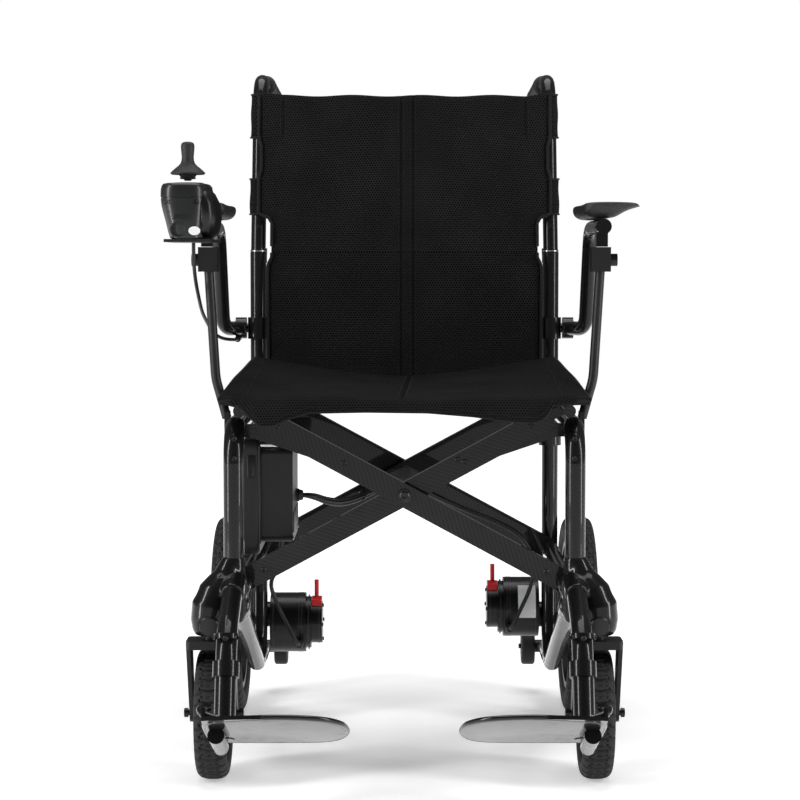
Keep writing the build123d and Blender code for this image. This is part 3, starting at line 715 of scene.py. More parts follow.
# ---------------------------------------------------------------- cloth
def closed_sheet(front, back):
    """Skins two grids of points, row by row, and the rim between them."""
    rows, columns = front.shape[:2]
    count = rows * columns
    faces = []
    for i in range(rows - 1):
        for j in range(columns - 1):
            a = i * columns + j
            quad = (a, a + 1, a + columns + 1, a + columns)
            faces.append(quad)
            faces.append(tuple(count + k for k in reversed(quad)))
    rim = [j for j in range(columns)] + [i * columns + columns - 1 for i in range(1, rows)]
    rim += [(rows - 1) * columns + j for j in range(columns - 2, -1, -1)]
    rim += [i * columns for i in range(rows - 2, 0, -1)]
    for a, b in zip(rim, rim[1:] + rim[:1]):
        faces.append((b, a, count + a, count + b))
    mesh = bpy.data.meshes.new("sheet")
    mesh.from_pydata(np.concatenate([front.reshape(-1, 3), back.reshape(-1, 3)]).tolist(), [], faces)
    work = bmesh.new()
    work.from_mesh(mesh)
    bmesh.ops.recalc_face_normals(work, faces=work.faces)
    work.to_mesh(mesh)
    work.free()
    return mesh


def lay_flat(mesh, flat):
    """Gives a mesh the cloth UV map: each vertex's place, in metres, on the flat cloth."""
    cloth = mesh.uv_layers.new(name="cloth")
    loops = np.empty(len(mesh.loops), int)
    mesh.loops.foreach_get("vertex_index", loops)
    cloth.data.foreach_set("uv", flat[loops].astype(np.float32).reshape(-1))


def cloth_panel(height_at, columns, rows, thickness, flush, edge=0.004):
    """A closed sheet over a grid, thin at its edges apart from the flush one.

    height_at(i, j) is a point of its front face.
    """
    front = np.array([[height_at(i, j) for j in range(columns)] for i in range(rows)], float)
    along = np.gradient(front, axis=0)
    across = np.gradient(front, axis=1)
    normal = np.cross(across, along)
    normal /= np.linalg.norm(normal, axis=2, keepdims=True)
    if normal[..., 1].mean() + normal[..., 2].mean() * -1 > 0:
        normal = -normal
    step_u = np.linalg.norm(np.diff(front, axis=1), axis=2)
    step_v = np.linalg.norm(np.diff(front, axis=0), axis=2)
    u = np.concatenate([np.zeros((rows, 1)), np.cumsum(step_u, axis=1)], axis=1)
    v = np.concatenate([np.zeros((1, columns)), np.cumsum(step_v, axis=0)], axis=0)
    u -= u[:, columns // 2: columns // 2 + 1]
    below = v + (flush == "first")
    above = v[-1:] - v + (flush == "last")
    inset = np.minimum(np.minimum(u - u[:, :1], u[:, -1:] - u), np.minimum(below, above))
    share = np.clip(inset / edge, 0.0, 1.0)
    full = 0.12 + 0.88 * np.sqrt(1 - (1 - share) ** 2)
    lift = (thickness / 2 * full)[..., None]
    middle = front - normal * thickness / 2
    mesh = closed_sheet(middle + normal * lift, middle - normal * lift)
    flat = np.stack([u.reshape(-1), v.reshape(-1)], axis=1)
    lay_flat(mesh, np.concatenate([flat, flat]))
    return mesh


def groove(distance, half_width, depth):
    """A soft valley of a given depth about distance 0."""
    return depth * np.exp(-((distance / half_width) ** 2))


post_line_y, hinge_level, lean_rise, lean_back = 0.252, 0.702, 0.261, 0.042
tube_x, panel_stand = 0.219, 0.0142


def tube_line(z):
    """Centre of the back tube or post at a height, as X (right side) and Y."""
    share = max(0.0, z - hinge_level) / lean_rise
    return tube_x - 0.002 * share, post_line_y + lean_back * share


def back_sag(z):
    return np.interp(z, [0.51, 0.60, 0.72, 0.90, 0.94], [0.004, 0.014, 0.020, 0.016, 0.011])


def back_half_width(z):
    return np.interp(
        z,
        [0.51, 0.672, 0.684, 0.694, 0.745, 0.7535, 0.7585, 0.812, 0.826, 0.860, 0.874, 0.94],
        [0.204, 0.2045, 0.2035, 0.1985, 0.1985, 0.2035, 0.2185, 0.2185, 0.2145, 0.2145, 0.2185, 0.2185],
    )


def back_point(share, z):
    """Point of the back sling's front face: share runs from -1 at the left edge to 1."""
    _, tube_y = tube_line(z)
    x = share * back_half_width(z)
    y = tube_y - panel_stand + back_sag(z) * (1 - min(1.0, abs(x) / 0.2) ** 2.2)
    y += 0.0012 * sin(17 * x + 9 * z) * sin(31 * z + 4 * x)
    for seam in (seam_x - seam_half, seam_x + seam_half):
        y += groove(x - seam, 0.0018, 0.0026)
    if z > 0.872:
        y += groove(abs(x) - 0.182, 0.0016, 0.0022)
    return x, y, z


def spread(count, *lines):
    """Shares from -1 to 1, drawn closer together near some lines."""
    shares = np.linspace(-1, 1, count)
    extra = [line + offset for line in lines for offset in (-0.014, -0.008, -0.003, 0.003, 0.008, 0.014)]
    return np.unique(np.round(np.concatenate([shares, [e for e in extra if -1 < e < 1]]), 4))


def back_sling(name, body, low_z, high_z, node, wavy_top=False):
    levels = np.linspace(low_z, high_z, max(12, int((high_z - low_z) / 0.004)))
    seam_lines = [(seam_x - seam_half) / 0.2, (seam_x + seam_half) / 0.2, -0.84, 0.84]
    shares = spread(96, *seam_lines)

    def point(i, j):
        x, y, z = back_point(shares[j], levels[i])
        if wavy_top and i > len(levels) - 6:
            z += (0.0012 * sin(60 * x) + 0.0045 * max(0.0, abs(x) - 0.185) / 0.033) * (i - len(levels) + 6) / 5
        return x, y, z

    mesh = cloth_panel(point, len(shares), len(levels), 0.0055, "first" if wavy_top else "last")
    return add(name, mesh, spacer_mesh, body, (node,))


def fold_towards(anchor_x, *pieces):
    """Gives each soft piece a mesh of its own."""
    for piece in pieces:
        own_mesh(piece)


thread_out = 0.0002  # how far stitches stand off the cloth


def edge_path(side, low_z, high_z, inset=0.0, forward=0.0018, count=60):
    path = []
    for z in np.linspace(low_z, high_z, count):
        share = side * (1 - inset / back_half_width(z))
        x, y, _ = back_point(share, z)
        path.append((x, y - forward, z))
    return path


def line_path(x, low_z, high_z, forward=0.0, count=40):
    levels = np.linspace(low_z, high_z, count)
    return [(x, back_point(x / back_half_width(z), z)[1] - forward, z) for z in levels]


def back_rest():
    upper_low, upper_high, lower_low = hinge_level + 0.0005, 0.9375, 0.514
    upper = back_sling("back_sling_upper", "back_left", upper_low, upper_high, "back_panel_upper", wavy_top=True)
    lower = back_sling("back_sling_lower", "left_frame", lower_low, hinge_level, "back_panel_lower")
    for label, body, low, high, bare, piece in (
        ("upper", "back_left", upper_low, upper_high, 0.008, upper),
        ("lower", "left_frame", lower_low, hinge_level, 0.022, lower),
    ):
        bound = joined([strip(edge_path(side, low + bare, high - 0.001), 0.0023, 3) for side in (-1, 1)])
        edging = add(f"back_edge_binding_{label}", bound, binding, body)
        rows = [line_path(seam_x + side * (seam_half + out), low + 0.003, high - 0.004, thread_out)
                for side in (-1, 1) for out in (-0.0042, 0.0042)]
        rows += [edge_path(side, low + 0.003, high - 0.003, 0.0065, thread_out) for side in (-1, 1)]
        if label == "upper":
            rows += [line_path(side * (0.182 + out), 0.876, 0.931, thread_out)
                     for side in (-1, 1) for out in (-0.004, 0.004)]
            rows += [[(x, back_point(x / 0.2185, 0.930)[1] - thread_out, 0.930)
                      for x in np.linspace(-0.186, 0.186, 60)]]
        thread = add(f"back_stitches_{label}", stitches(rows), thread_black, body)
        fold_towards(-tube_x, edging, thread, piece)
    for side_name, side in SIDES:
        body = f"back_{side_name}"
        sleeves = [sleeve(side, low, high) for low, high in ((0.8735, 0.9395), (0.7575, 0.8120))]
        add(f"tube_sleeves_{side_name}", joined(sleeves), spacer_mesh_plain, body)
        hems = [hoop(side, z) for z in (0.8737, 0.8112, 0.7583, 0.9385)]
        add(f"sleeve_hems_{side_name}", joined(hems), binding, body)


def sleeve_ring(side, z, radius, segments=40):
    x, y = tube_line(z)
    wobble = 0.0005 * sin(z * 140)
    return [
        (side * x + (radius + wobble + 0.0006 * sin(3 * a)) * cos(a), y + (radius + wobble) * sin(a), z)
        for a in around(segments)
    ]


def sleeve(side, low, high):
    """A loose tube of cloth round a back tube."""
    levels = np.linspace(low, high, 12)
    outer = [sleeve_ring(side, z, 0.0137) for z in levels]
    inner = [sleeve_ring(side, z, 0.0119) for z in levels[::-1]]
    return grow(outer + inner, closed_rows=True)


def hoop(side, z):
    return strip(sleeve_ring(side, z, 0.0139, 28), 0.0013, 3, closed=True)


# ---------------------------------------------------------------- seat
seat_front, seat_rear = -0.2035, 0.2225


def seat_run(y):
    """Share of the way from the seat's front to its rear."""
    return min(1.0, max(0.0, (y + 0.2) / 0.42))


def valley_x(run):
    """Middle of the seat's centre seam, which drifts a little."""
    return -0.004 + 0.012 * run


def seat_top(x, y):
    """Height of the seat sling's upper face."""
    reach = abs(x)
    run = seat_run(y)
    side_z = 0.5125 + 0.036 * run ** 1.1
    middle_z = 0.5105 + 0.0075 * run
    share = min(1.0, reach / 0.222)
    z = middle_z + (side_z - middle_z) * share ** 1.7
    if reach > 0.216:
        z -= (min(1.0, (reach - 0.216) / 0.033)) ** 2 * 0.011
    z -= groove(x - valley_x(run), 0.0022, 0.0028)
    z += 0.0011 * sin(21 * x + 13 * y) * sin(27 * y - 9 * x)
    return z


def flap_low(x):
    """Height of the front flap's hem."""
    return np.interp(
        x,
        [-0.235, -0.215, -0.199, -0.188, -0.172, -0.150, -0.125, -0.05, 0.03, 0.09, 0.14, 0.172, 0.184, 0.193, 0.235],
        [0.5015, 0.4965, 0.482, 0.4735, 0.4745, 0.484, 0.491, 0.4925, 0.4915, 0.4865, 0.4795, 0.4785, 0.4845, 0.5005,
         0.5015],
    )


def seat_section(x, rows=64):
    """Closed side outline of the seat sling at one X: flap, front roll, top and underside."""
    reach = abs(x)
    front = np.interp(reach, [0, 0.196, 0.226, 0.2465], [seat_front, seat_front + 0.002, -0.188, -0.150])
    rear = np.interp(reach, [0, 0.216, 0.2215, 0.2465], [seat_rear, seat_rear - 0.001, 0.205, -0.105])
    thin = np.interp(reach, [0, 0.15, 0.2, 0.232, 0.2465], [0.011, 0.010, 0.0062, 0.0055, 0.003])
    hem = flap_low(x)
    roll = 0.0085
    top = [(y, seat_top(x, y)) for y in front + roll + (rear - front - roll) * np.linspace(0, 1, rows)]
    start_z = top[0][1]
    outer = [(front + roll - roll * sin(angle), start_z - roll + roll * cos(angle))
             for angle in np.linspace(0, pi / 2, 7)[::-1][:-1]]
    drop = max(0.0, start_z - roll - hem)
    down = [(front, hem + drop * share) for share in (0.0, 0.12, 0.3, 0.5, 0.75)]
    flap_t = 0.0055
    inner = [(front + flap_t, hem + drop * share * 0.55) for share in (1.0, 0.6, 0.2, 0.0)]
    under = [(y, seat_top(x, y) - thin) for y in np.linspace(rear - 0.002, front + roll + 0.003, rows)]
    outline = down + outer + top + [(rear + 0.002, seat_top(x, rear) - thin / 2)] + under + inner
    return [(x, y, z) for y, z in outline]


def seat():
    stations = np.concatenate([
        np.linspace(-0.2465, -0.17, 26), np.linspace(-0.167, -0.02, 34), np.linspace(-0.018, 0.02, 26),
        np.linspace(0.023, 0.167, 34), np.linspace(0.17, 0.2465, 26),
    ])
    mesh = grow([seat_section(x) for x in stations])
    place = np.empty(len(mesh.vertices) * 3)
    mesh.vertices.foreach_get("co", place)
    place = place.reshape(-1, 3)
    lay_flat(mesh, np.stack([place[:, 0], place[:, 1] + place[:, 2]], axis=1))
    piece = add("seat_sling", mesh, spacer_mesh, "seat", ("seat_cushion",))
    hem = [(x, np.interp(abs(x), [0, 0.196, 0.226], [seat_front, seat_front + 0.002, -0.188]) + 0.0028,
            flap_low(x) + 0.0005) for x in np.linspace(-0.243, 0.243, 120)]
    side_hems = []
    for side in (-1, 1):
        points = []
        for share in np.linspace(0, 1, 40):
            y = -0.150 + share * (0.205 + 0.150)
            x = np.interp(y, [-0.150, -0.105, 0.205], [0.2465, 0.2465, 0.2215])
            points.append((side * x, y, seat_top(x, y) - 0.002))
        side_hems.append(points)
    bound = joined([strip(path, 0.0026, 3) for path in [hem] + side_hems])
    edging = add("seat_edge_binding", bound, binding, "seat")
    run = np.linspace(seat_front + 0.012, seat_rear - 0.006, 90)
    rows = []
    for out in (-0.0052, 0.0052):
        middles = [(valley_x(seat_run(y)) + out, y) for y in run]
        rows.append([(x, y, seat_top(x, y) + thread_out) for x, y in middles])
    for side in (-1, 1):
        rows.append([(side * 0.2075, y, seat_top(0.2075, y) + thread_out) for y in run])
    rows.append([(x, seat_front - thread_out, flap_low(x) + 0.0065) for x in np.linspace(-0.198, 0.192, 90)])
    thread = add("seat_stitches", stitches(rows), thread_black, "seat")
    for soft in (piece, edging, thread):
        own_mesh(soft)


# ---------------------------------------------------------------- wheels
def wave(value):
    """A zigzag from -1 to 1 with a period of 1."""
    return 4 * abs((value % 1.0) - 0.5) - 1


def tyre_mesh(centre, width, outer, inner, tread, steps, across):
    """A solid tyre on an X axle. tread(turn, side) gives the cut at a share of a turn and of the width."""
    rings, cuts = [], []
    middle, half = (outer + inner) / 2, (outer - inner) / 2
    for i in range(steps):
        turn = i / steps
        angle = 2 * pi * turn
        ring = []
        for t in around(across):
            c, s = cos(t), sin(t)
            x = width / 2 * np.sign(c) * abs(c) ** 0.72
            r = middle + half * np.sign(s) * abs(s) ** 0.8
            depth = tread(turn, 2 * x / width) * min(1.0, s * 2.2) if s > 0.05 else 0.0
            r -= depth
            cuts.append(depth / tread_cut)
            ring.append((centre[0] + x, centre[1] + r * cos(angle), centre[2] + r * sin(angle)))
        rings.append(ring)
    mesh = grow(rings, closed_rows=True)
    # the cut attribute holds each point's share of the full tread depth; the tyre's colour reads it as painted shade
    # in the grooves
    mesh.attributes.new("cut", "FLOAT", "POINT").data.foreach_set("value", np.array(cuts, np.float32))
    return mesh


def ridge(distance, half_width):
    """1 in a cut of a given half width, with sloping walls."""
    return float(np.clip(1.6 - abs(distance) / half_width, 0.0, 1.0))


def front_tread(turn, side):
    """Diamond blocks either side of a zigzag groove."""
    block = turn * 34
    zig, edge = wave(block), abs(side)
    cuts = [ridge(side - 0.10 * zig, 0.045), ridge(edge - 0.46 - 0.13 * zig, 0.05)]
    if edge > 0.5:
        cuts.append(ridge(((block + 0.5 * (side > 0)) % 1.0 - 0.5) * 0.6 - 0.1 * side, 0.05))
    if 0.1 < edge < 0.46:
        cuts.append(ridge(((block + 0.25) % 1.0 - 0.5) * 0.7 + 0.25 * edge, 0.04))
    return tread_cut * max(cuts)


def rear_tread(turn, side):
    """Wavy grooves that run together as a chain of ovals."""
    block = turn * 46
    ripple, edge = sin(2 * pi * turn * 46), abs(side)
    cuts = [
        ridge(side - 0.05 * ripple, 0.04),
        ridge(edge - 0.34 - 0.10 * ripple, 0.05),
        ridge(edge - 0.68 - 0.10 * sin(2 * pi * turn * 46 + pi), 0.055),
    ]
    if edge > 0.68:
        cuts.append(ridge((block % 1.0 - 0.5) * 0.7 - 0.16 * side, 0.06))
    return tread_cut * max(cuts)


def wheels():
    for side_name, _ in SIDES:
        for label, tread, steps, across, inner in (
            ("front", front_tread, 612, 40, 0.0594), ("rear", rear_tread, 736, 44, 0.1114),
        ):
            node = f"{label}_tyre_{side_name}"
            low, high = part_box(node)
            centre = tuple((a + b) / 2 for a, b in zip(low, high))
            mesh = tyre_mesh(centre, high[0] - low[0], (high[2] - low[2]) / 2, inner, tread, steps, across)
            body = f"{label}_wheel_{side_name}"
            add(f"{label}_tyre_tread_{side_name}", mesh, tyre_rubber, body, (node,))


# ---------------------------------------------------------------- moulded shells
def cast(meshes, voxel, rounds):
    """Closed shapes melted into one smooth moulding."""
    carrier = bpy.data.objects.new("cast", joined(meshes))
    bpy.context.collection.objects.link(carrier)
    remesh = carrier.modifiers.new("remesh", "REMESH")
    remesh.mode, remesh.voxel_size = "VOXEL", voxel
    soften = carrier.modifiers.new("soften", "SMOOTH")
    soften.factor, soften.iterations = 0.5, rounds
    mesh = evaluated_mesh(carrier)
    bpy.data.objects.remove(carrier)
    return mesh


def blob(stations, segments=40, power=2.0):
    """Skin over rounded sections: each is a centre, two half sizes and the axis that it faces."""
    rings = []
    for centre, half_a, half_b, direction in stations:
        side, up, _ = axes_of(direction)
        ring = []
        for angle in around(segments):
            c, s = cos(angle), sin(angle)
            a = half_a * np.sign(c) * abs(c) ** (2 / power)
            b = half_b * np.sign(s) * abs(s) ** (2 / power)
            ring.append(Vector(centre) + side * a + up * b)
        rings.append(ring)
    return grow(rings)


def mirrored(mesh, side):
    """The mesh as made for the right side, or turned over for the left."""
    if side < 0:
        mesh.transform(Matrix.Scale(-1, 4, (1, 0, 0)))
        mesh.flip_normals()
    return mesh


hanger_from, hanger_way = Vector((leg_x, leg_y, 0.270)), Vector((0.0, -0.919, -0.395))
loop_from, loop_way = Vector((0.219, leg_y, 0.236)), Vector((0.0, 0.932, -0.3614))
cap_way = (0.03, -1, -0.16)


def band(half_width, inner, outer):
    """Outline of a square-edged ring."""
    return [(-half_width, inner), (half_width, inner), (half_width, outer), (-half_width, outer)]


def caster_housings():
    for side_name, side in SIDES:
        leg = lathe(
            [(0, 0.0142), (0.004, 0.0146), (0.02, 0.0154), (0.05, 0.0164), (0.078, 0.0160), (0.088, 0.0120)],
            (leg_x, leg_y, 0.300), (0, 0, -1),
        )
        hanger = lathe([(0, 0.0162), (0.040, 0.0160), (0.0425, 0.0150)], hanger_from, hanger_way)
        loop = lathe([(0, 0.0155), (0.036, 0.0150), (0.041, 0.0142)], loop_from, loop_way)
        rail = lathe([(0, 0.013), (0.036, 0.0134), (0.0385, 0.0118)], (0.217, leg_y, 0.258), (0, 1, 0))
        bulb = blob([
            ((0.228, -0.186, 0.297), 0.0125, 0.0125, (0.1, -0.05, -1)),
            ((0.2315, -0.189, 0.283), 0.0165, 0.0160, (0.2, -0.1, -1)),
            ((0.2385, -0.194, 0.268), 0.0205, 0.0200, (0.45, -0.35, -1)),
            ((0.2475, -0.200, 0.254), 0.0245, 0.0235, (0.45, -0.35, -1)),
            ((0.2538, -0.2045, 0.238), 0.0262, 0.0255, (0.2, -0.15, -1)),
            ((0.2545, -0.2055, 0.220), 0.0255, 0.0260, (0, 0, -1)),
            ((0.2540, -0.2050, 0.205), 0.0230, 0.0240, (0, 0, -1)),
            ((0.2540, -0.2050, 0.1985), 0.0190, 0.0190, (0, 0, -1)),
        ])
        shell = mirrored(cast([leg, hanger, loop, rail, bulb], 0.0016, 16), side)
        body = f"{side_name}_frame"
        add(f"caster_shell_{side_name}", shell, carbon_shell, body, (f"caster_housing_{side_name}",))
        cap = mirrored(lathe(
            [(-0.006, 0.0128), (0.0015, 0.0130), (0.0028, 0.0118), (0.0034, 0.0070), (0.0036, 0.0006)],
            (0.2545, -0.2298, 0.2135), cap_way, 40), side)
        add(f"caster_cap_{side_name}", cap, latch_plastic, body)
        rings = [collar(band(0.0008, 0.0132, 0.0150), (0.2545, -0.2268 + step, 0.2140 + step * 0.2), cap_way, 40)
                 for step in (0.0, 0.0035)]
        add(f"caster_rings_{side_name}", mirrored(joined(rings), side), latch_plastic, body)


foot_pivot = Vector((0.0, -0.36630, 0.086457))
plate_ahead, plate_up = Vector((0.0, -0.92372, 0.38303)), Vector((0.0, 0.38303, 0.92372))


def on_plate(x, ahead, rise):
    return Vector((x, 0.0, 0.0)) + foot_pivot + plate_ahead * ahead + plate_up * rise


def smooth_closed(points, count):
    """Evenly counted points on a closed smooth line through given corners."""
    curve = np.array(points, float)
    total = len(curve)
    out = []
    for i in range(count):
        t = i / count * total
        k, f = int(t), t - int(t)
        p0, p1, p2, p3 = (curve[(k + n - 1) % total] for n in range(4))
        out.append(0.5 * ((2 * p1) + (-p0 + p2) * f + (2 * p0 - 5 * p1 + 4 * p2 - p3) * f ** 2
                          + (-p0 + 3 * p1 - 3 * p2 + p3) * f ** 3))
    return out


def foot_plates():
    outline = [
        (0.236, -0.014), (0.215, -0.021), (0.17, -0.0215), (0.125, -0.021), (0.098, -0.016), (0.080, 0.000),
        (0.0712, 0.028), (0.0705, 0.060), (0.0775, 0.092), (0.096, 0.115), (0.125, 0.1265), (0.160, 0.129),
        (0.195, 0.122), (0.222, 0.112), (0.238, 0.100), (0.2435, 0.075), (0.2435, 0.035), (0.2425, 0.005),
    ]
    line = smooth_closed(outline, 120)
    centre = np.mean(line, axis=0)

    def ring(inset, rise):
        ways = [point - centre for point in line]
        return [on_plate(*(centre + way * (1 - inset / np.linalg.norm(way))), rise) for way in ways]

    for side_name, side in SIDES:
        body = f"foot_{side_name}"
        levels = [(0.0035, 0.0068), (0.0016, 0.0070), (0.0004, 0.0079), (0.0, 0.0095),
                  (0.0004, 0.0111), (0.0016, 0.0120), (0.0035, 0.0122)]
        slab = grow([ring(inset, rise) for inset, rise in levels])
        bead = strip([on_plate(*point, 0.0098) for point in line], 0.0031, 4, closed=True)
        curl = strip([on_plate(0.226, 0.114, 0.011), on_plate(0.238, 0.113, 0.014), on_plate(0.2465, 0.106, 0.022),
                      on_plate(0.246, 0.094, 0.029), on_plate(0.238, 0.083, 0.031)], 0.0052, 6, "NURBS")
        plate = mirrored(joined([slab, bead, curl]), side)
        add(f"foot_deck_{side_name}", plate, carbon_gloss, body)
        spots = []
        for row in range(7):
            for column in range(11):
                x = 0.094 + column * 0.0132 + (row % 2) * 0.0066
                ahead = 0.002 + row * 0.0165
                if hypot((x - 0.155) / 0.082, (ahead - 0.05) / 0.072) < 1.0:
                    spots.append((side * x, *(on_plate(x, ahead, 0.0121))[1:]))
        dot = lathe([(-0.0005, 0.0026), (0.0006, 0.0024), (0.0010, 0.0012)], (0, 0, 0), (0, 0, 1), 12)
        grips = scattered(dot, [(spot, plate_up) for spot in spots], soft_rubber)
        add(f"foot_grip_dots_{side_name}", grips, soft_rubber, body)


def arm_pads():
    outline = [
        (0.2430, 0.7655), (0.2500, 0.7675), (0.2640, 0.7682), (0.2800, 0.7683), (0.2960, 0.7680), (0.3070, 0.7674),
        (0.3135, 0.7660), (0.3158, 0.7637), (0.3140, 0.7610), (0.3060, 0.7585), (0.2970, 0.7550), (0.2890, 0.7505),
        (0.2815, 0.7472), (0.2700, 0.7464), (0.2580, 0.7464), (0.2490, 0.7482), (0.2430, 0.7530), (0.2410, 0.7600),
    ]
    section = smooth_closed(outline, 72)
    middle = np.array((0.277, 0.7585))
    front, rear = -0.108, 0.118
    for side_name, side in SIDES:
        rings = []
        for share in np.concatenate([np.linspace(0, 0.08, 8), np.linspace(0.1, 0.9, 30), np.linspace(0.92, 1, 8)]):
            y = front + (rear - front) * share
            from_end = min(share, 1 - share) / 0.08
            bulge = sqrt(max(0.0, 1 - (1 - min(1.0, from_end)) ** 2))
            size = bulge * 0.42 + 0.58 if from_end < 1 else 1.0
            tall = max(0.16, bulge)
            dip = -0.0012 * sin(pi * share)
            rings.append([
                (side * (middle[0] + (p[0] - middle[0]) * size), y,
                 0.7655 + (p[1] - 0.7655) * tall + (dip if p[1] > 0.765 else 0.0)) for p in section
            ])
        mesh = grow(rings)
        pad = add(f"arm_cushion_{side_name}", mesh, pad_skin, f"arm_{side_name}", (f"arm_pad_{side_name}",))
        seam_reach = side * (middle[0] + (0.3158 - middle[0]) * 1.004)
        seam = [(seam_reach, front + 0.012 + (rear - front - 0.024) * k / 40, 0.7622) for k in range(41)]
        add(f"arm_cushion_seam_{side_name}", strip(seam, 0.0007, 3), pad_skin, f"arm_{side_name}")


def controller():
    stations = [
        (0.7172, -0.2806, 0.0215, -0.246, -0.129), (0.7182, -0.2806, 0.0232, -0.2478, -0.1272),
        (0.7260, -0.2812, 0.0250, -0.2488, -0.1252), (0.7380, -0.2818, 0.0272, -0.2496, -0.1240),
        (0.7500, -0.2825, 0.0298, -0.2500, -0.1230), (0.7600, -0.2832, 0.0316, -0.2500, -0.1222),
        (0.7690, -0.2836, 0.0322, -0.2500, -0.1220), (0.7694, -0.2836, 0.0315, -0.2493, -0.1227),
        (0.7706, -0.2836, 0.0315, -0.2493, -0.1227), (0.7710, -0.2838, 0.0322, -0.2500, -0.1220),
        (0.7800, -0.2838, 0.0320, -0.2498, -0.1222), (0.7855, -0.2838, 0.0308, -0.2487, -0.1234),
        (0.7880, -0.2838, 0.0288, -0.2466, -0.1256), (0.7888, -0.2838, 0.0250, -0.2430, -0.1290),
    ]
    shell = blob([((x, (y0 + y1) / 2, z), (y1 - y0) / 2, half, UP) for z, x, half, y0, y1 in stations], 96, 3.6)
    lobe = blob([((x, -0.190, z), half_y, half_x, UP) for x, z, half_y, half_x in (
        (-0.2600, 0.7190, 0.040, 0.0110), (-0.2575, 0.7260, 0.050, 0.0150), (-0.2550, 0.7450, 0.056, 0.0155),
        (-0.2560, 0.7620, 0.056, 0.0150), (-0.2590, 0.7760, 0.050, 0.0110), (-0.2610, 0.7810, 0.044, 0.0080),
    )], 64, 2.8)
    add("controller_shell", shell, control_plastic, "arm_left", ("controller_housing",))
    add("controller_port_cover", lobe, latch_plastic, "arm_left")
    stick_x, stick_y = -0.281, -0.205
    knob = lathe([
        (0.7924, 0.0042), (0.7942, 0.0052), (0.7948, 0.0100), (0.7958, 0.0106), (0.7970, 0.0094), (0.7984, 0.0106),
        (0.8000, 0.0115), (0.8003, 0.0205), (0.8010, 0.0222), (0.8028, 0.0224), (0.8045, 0.0208), (0.8080, 0.0170),
        (0.8120, 0.0120), (0.8150, 0.0094), (0.8190, 0.0081), (0.8235, 0.0078), (0.8290, 0.0083), (0.8340, 0.0088),
        (0.8380, 0.0088), (0.8405, 0.0080), (0.8420, 0.0062), (0.8428, 0.0034), (0.8430, 0.0005),
    ], (stick_x, stick_y, 0), UP, 64)
    add("joystick_grip", knob, soft_rubber, "stick", ("joystick_knob",))
    boot = collar([
        (0.7868, 0.0202), (0.7885, 0.0206), (0.7895, 0.0200), (0.7899, 0.0185), (0.7893, 0.0165), (0.7868, 0.0160),
    ], (stick_x, stick_y, 0), UP, 64)
    add("joystick_boot", boot, soft_rubber, "arm_left")
    bezels = [collar([(-0.001, 0.0063), (0.0006, 0.0064), (0.0010, 0.0072), (0.0006, 0.0082), (-0.001, 0.0084)],
                     (x, -0.146, 0.7882), UP, 40) for x in (-0.295, -0.271)]
    add("key_bezels", joined(bezels), latch_plastic, "arm_left")
    gauge = rounded_box((-0.300, -0.178, 0.7878), (-0.266, -0.170, 0.7893), 0.0006)
    add("charge_gauge", gauge, socket_dark, "arm_left")
    lamp = rounded_box((-0.0018, -0.0012, 0.0), (0.0018, 0.0012, 0.0005), 0.0002, 2)
    spots = [((-0.2955 + 0.0062 * i, -0.174, 0.7892), UP) for i in range(5)]
    add("charge_lamps", scattered(lamp, spots, key_rubber), key_rubber, "arm_left")
    port = lathe([(-0.004, 0.0098), (0.0006, 0.0100), (0.0012, 0.0092), (0.0008, 0.0078), (-0.0004, 0.0070),
                  (-0.0006, 0.0004)], (-0.2905, -0.2486, 0.7292), (0, -1, -0.06), 48)
    add("speaker_port", port, socket_dark, "arm_left")
    tag = lathe([(0, 0.0056), (0.0003, 0.0056), (0.00035, 0.0050)], (0, 0, 0), FRONT)
    tag.transform(Matrix.Translation((-0.2690, -0.2490, 0.7272)) @ Matrix.Diagonal((1.35, 1.0, 1.0, 1.0)))
    add("oval_tag", tag, paper, "arm_left")
    screws = [((x, -0.2498, 0.7640), FRONT) for x in (-0.3068, -0.2652)]
    recess = collar([(-0.0006, 0.0020), (0.0004, 0.0021), (0.0006, 0.0027), (-0.0006, 0.0031)], (0, 0, 0), UP, 20)
    screwed("housing_screws", recess, screws, "arm_left")
    vent = rounded_box((-0.0004, -0.0040, -0.0002), (0.0004, 0.0040, 0.0003), 0.00015, 2)
    vent.transform(Matrix.Rotation(radians(-35), 4, "Z"))
    slots = [((-0.2945 + 0.0021 * i, -0.2500, 0.7450), FRONT) for i in range(10)]
    add("vent_slots", scattered(vent, slots, socket_dark), socket_dark, "arm_left")


# ---------------------------------------------------------------- cables
def lead(points, radius):
    return strip(points, radius, 4, "NURBS")


joystick_route = [
    (-0.284, -0.098, 0.7128), (-0.284, -0.098, 0.688), (-0.283, -0.084, 0.662), (-0.281, -0.054, 0.637),
    (-0.281, -0.006, 0.617), (-0.279, 0.048, 0.602), (-0.276, 0.098, 0.588), (-0.268, 0.143, 0.576),
    (-0.249, 0.188, 0.572), (-0.249, 0.228, 0.572),
]
left_motor_route = [
    (-0.174, 0.030, 0.306), (-0.174, 0.030, 0.284), (-0.180, 0.058, 0.257), (-0.188, 0.098, 0.236),
    (-0.195, 0.146, 0.222), (-0.198, 0.186, 0.203), (-0.188, 0.208, 0.172), (-0.170, 0.205, 0.138),
    (-0.158, 0.210, 0.112), (-0.158, 0.236, 0.112),
]
harness_route = [
    (-0.148, 0.020, 0.360), (-0.130, 0.020, 0.360), (-0.110, 0.052, 0.348), (-0.088, 0.098, 0.341),
    (-0.062, 0.144, 0.345), (-0.034, 0.187, 0.355), (-0.012, 0.192, 0.355),
]
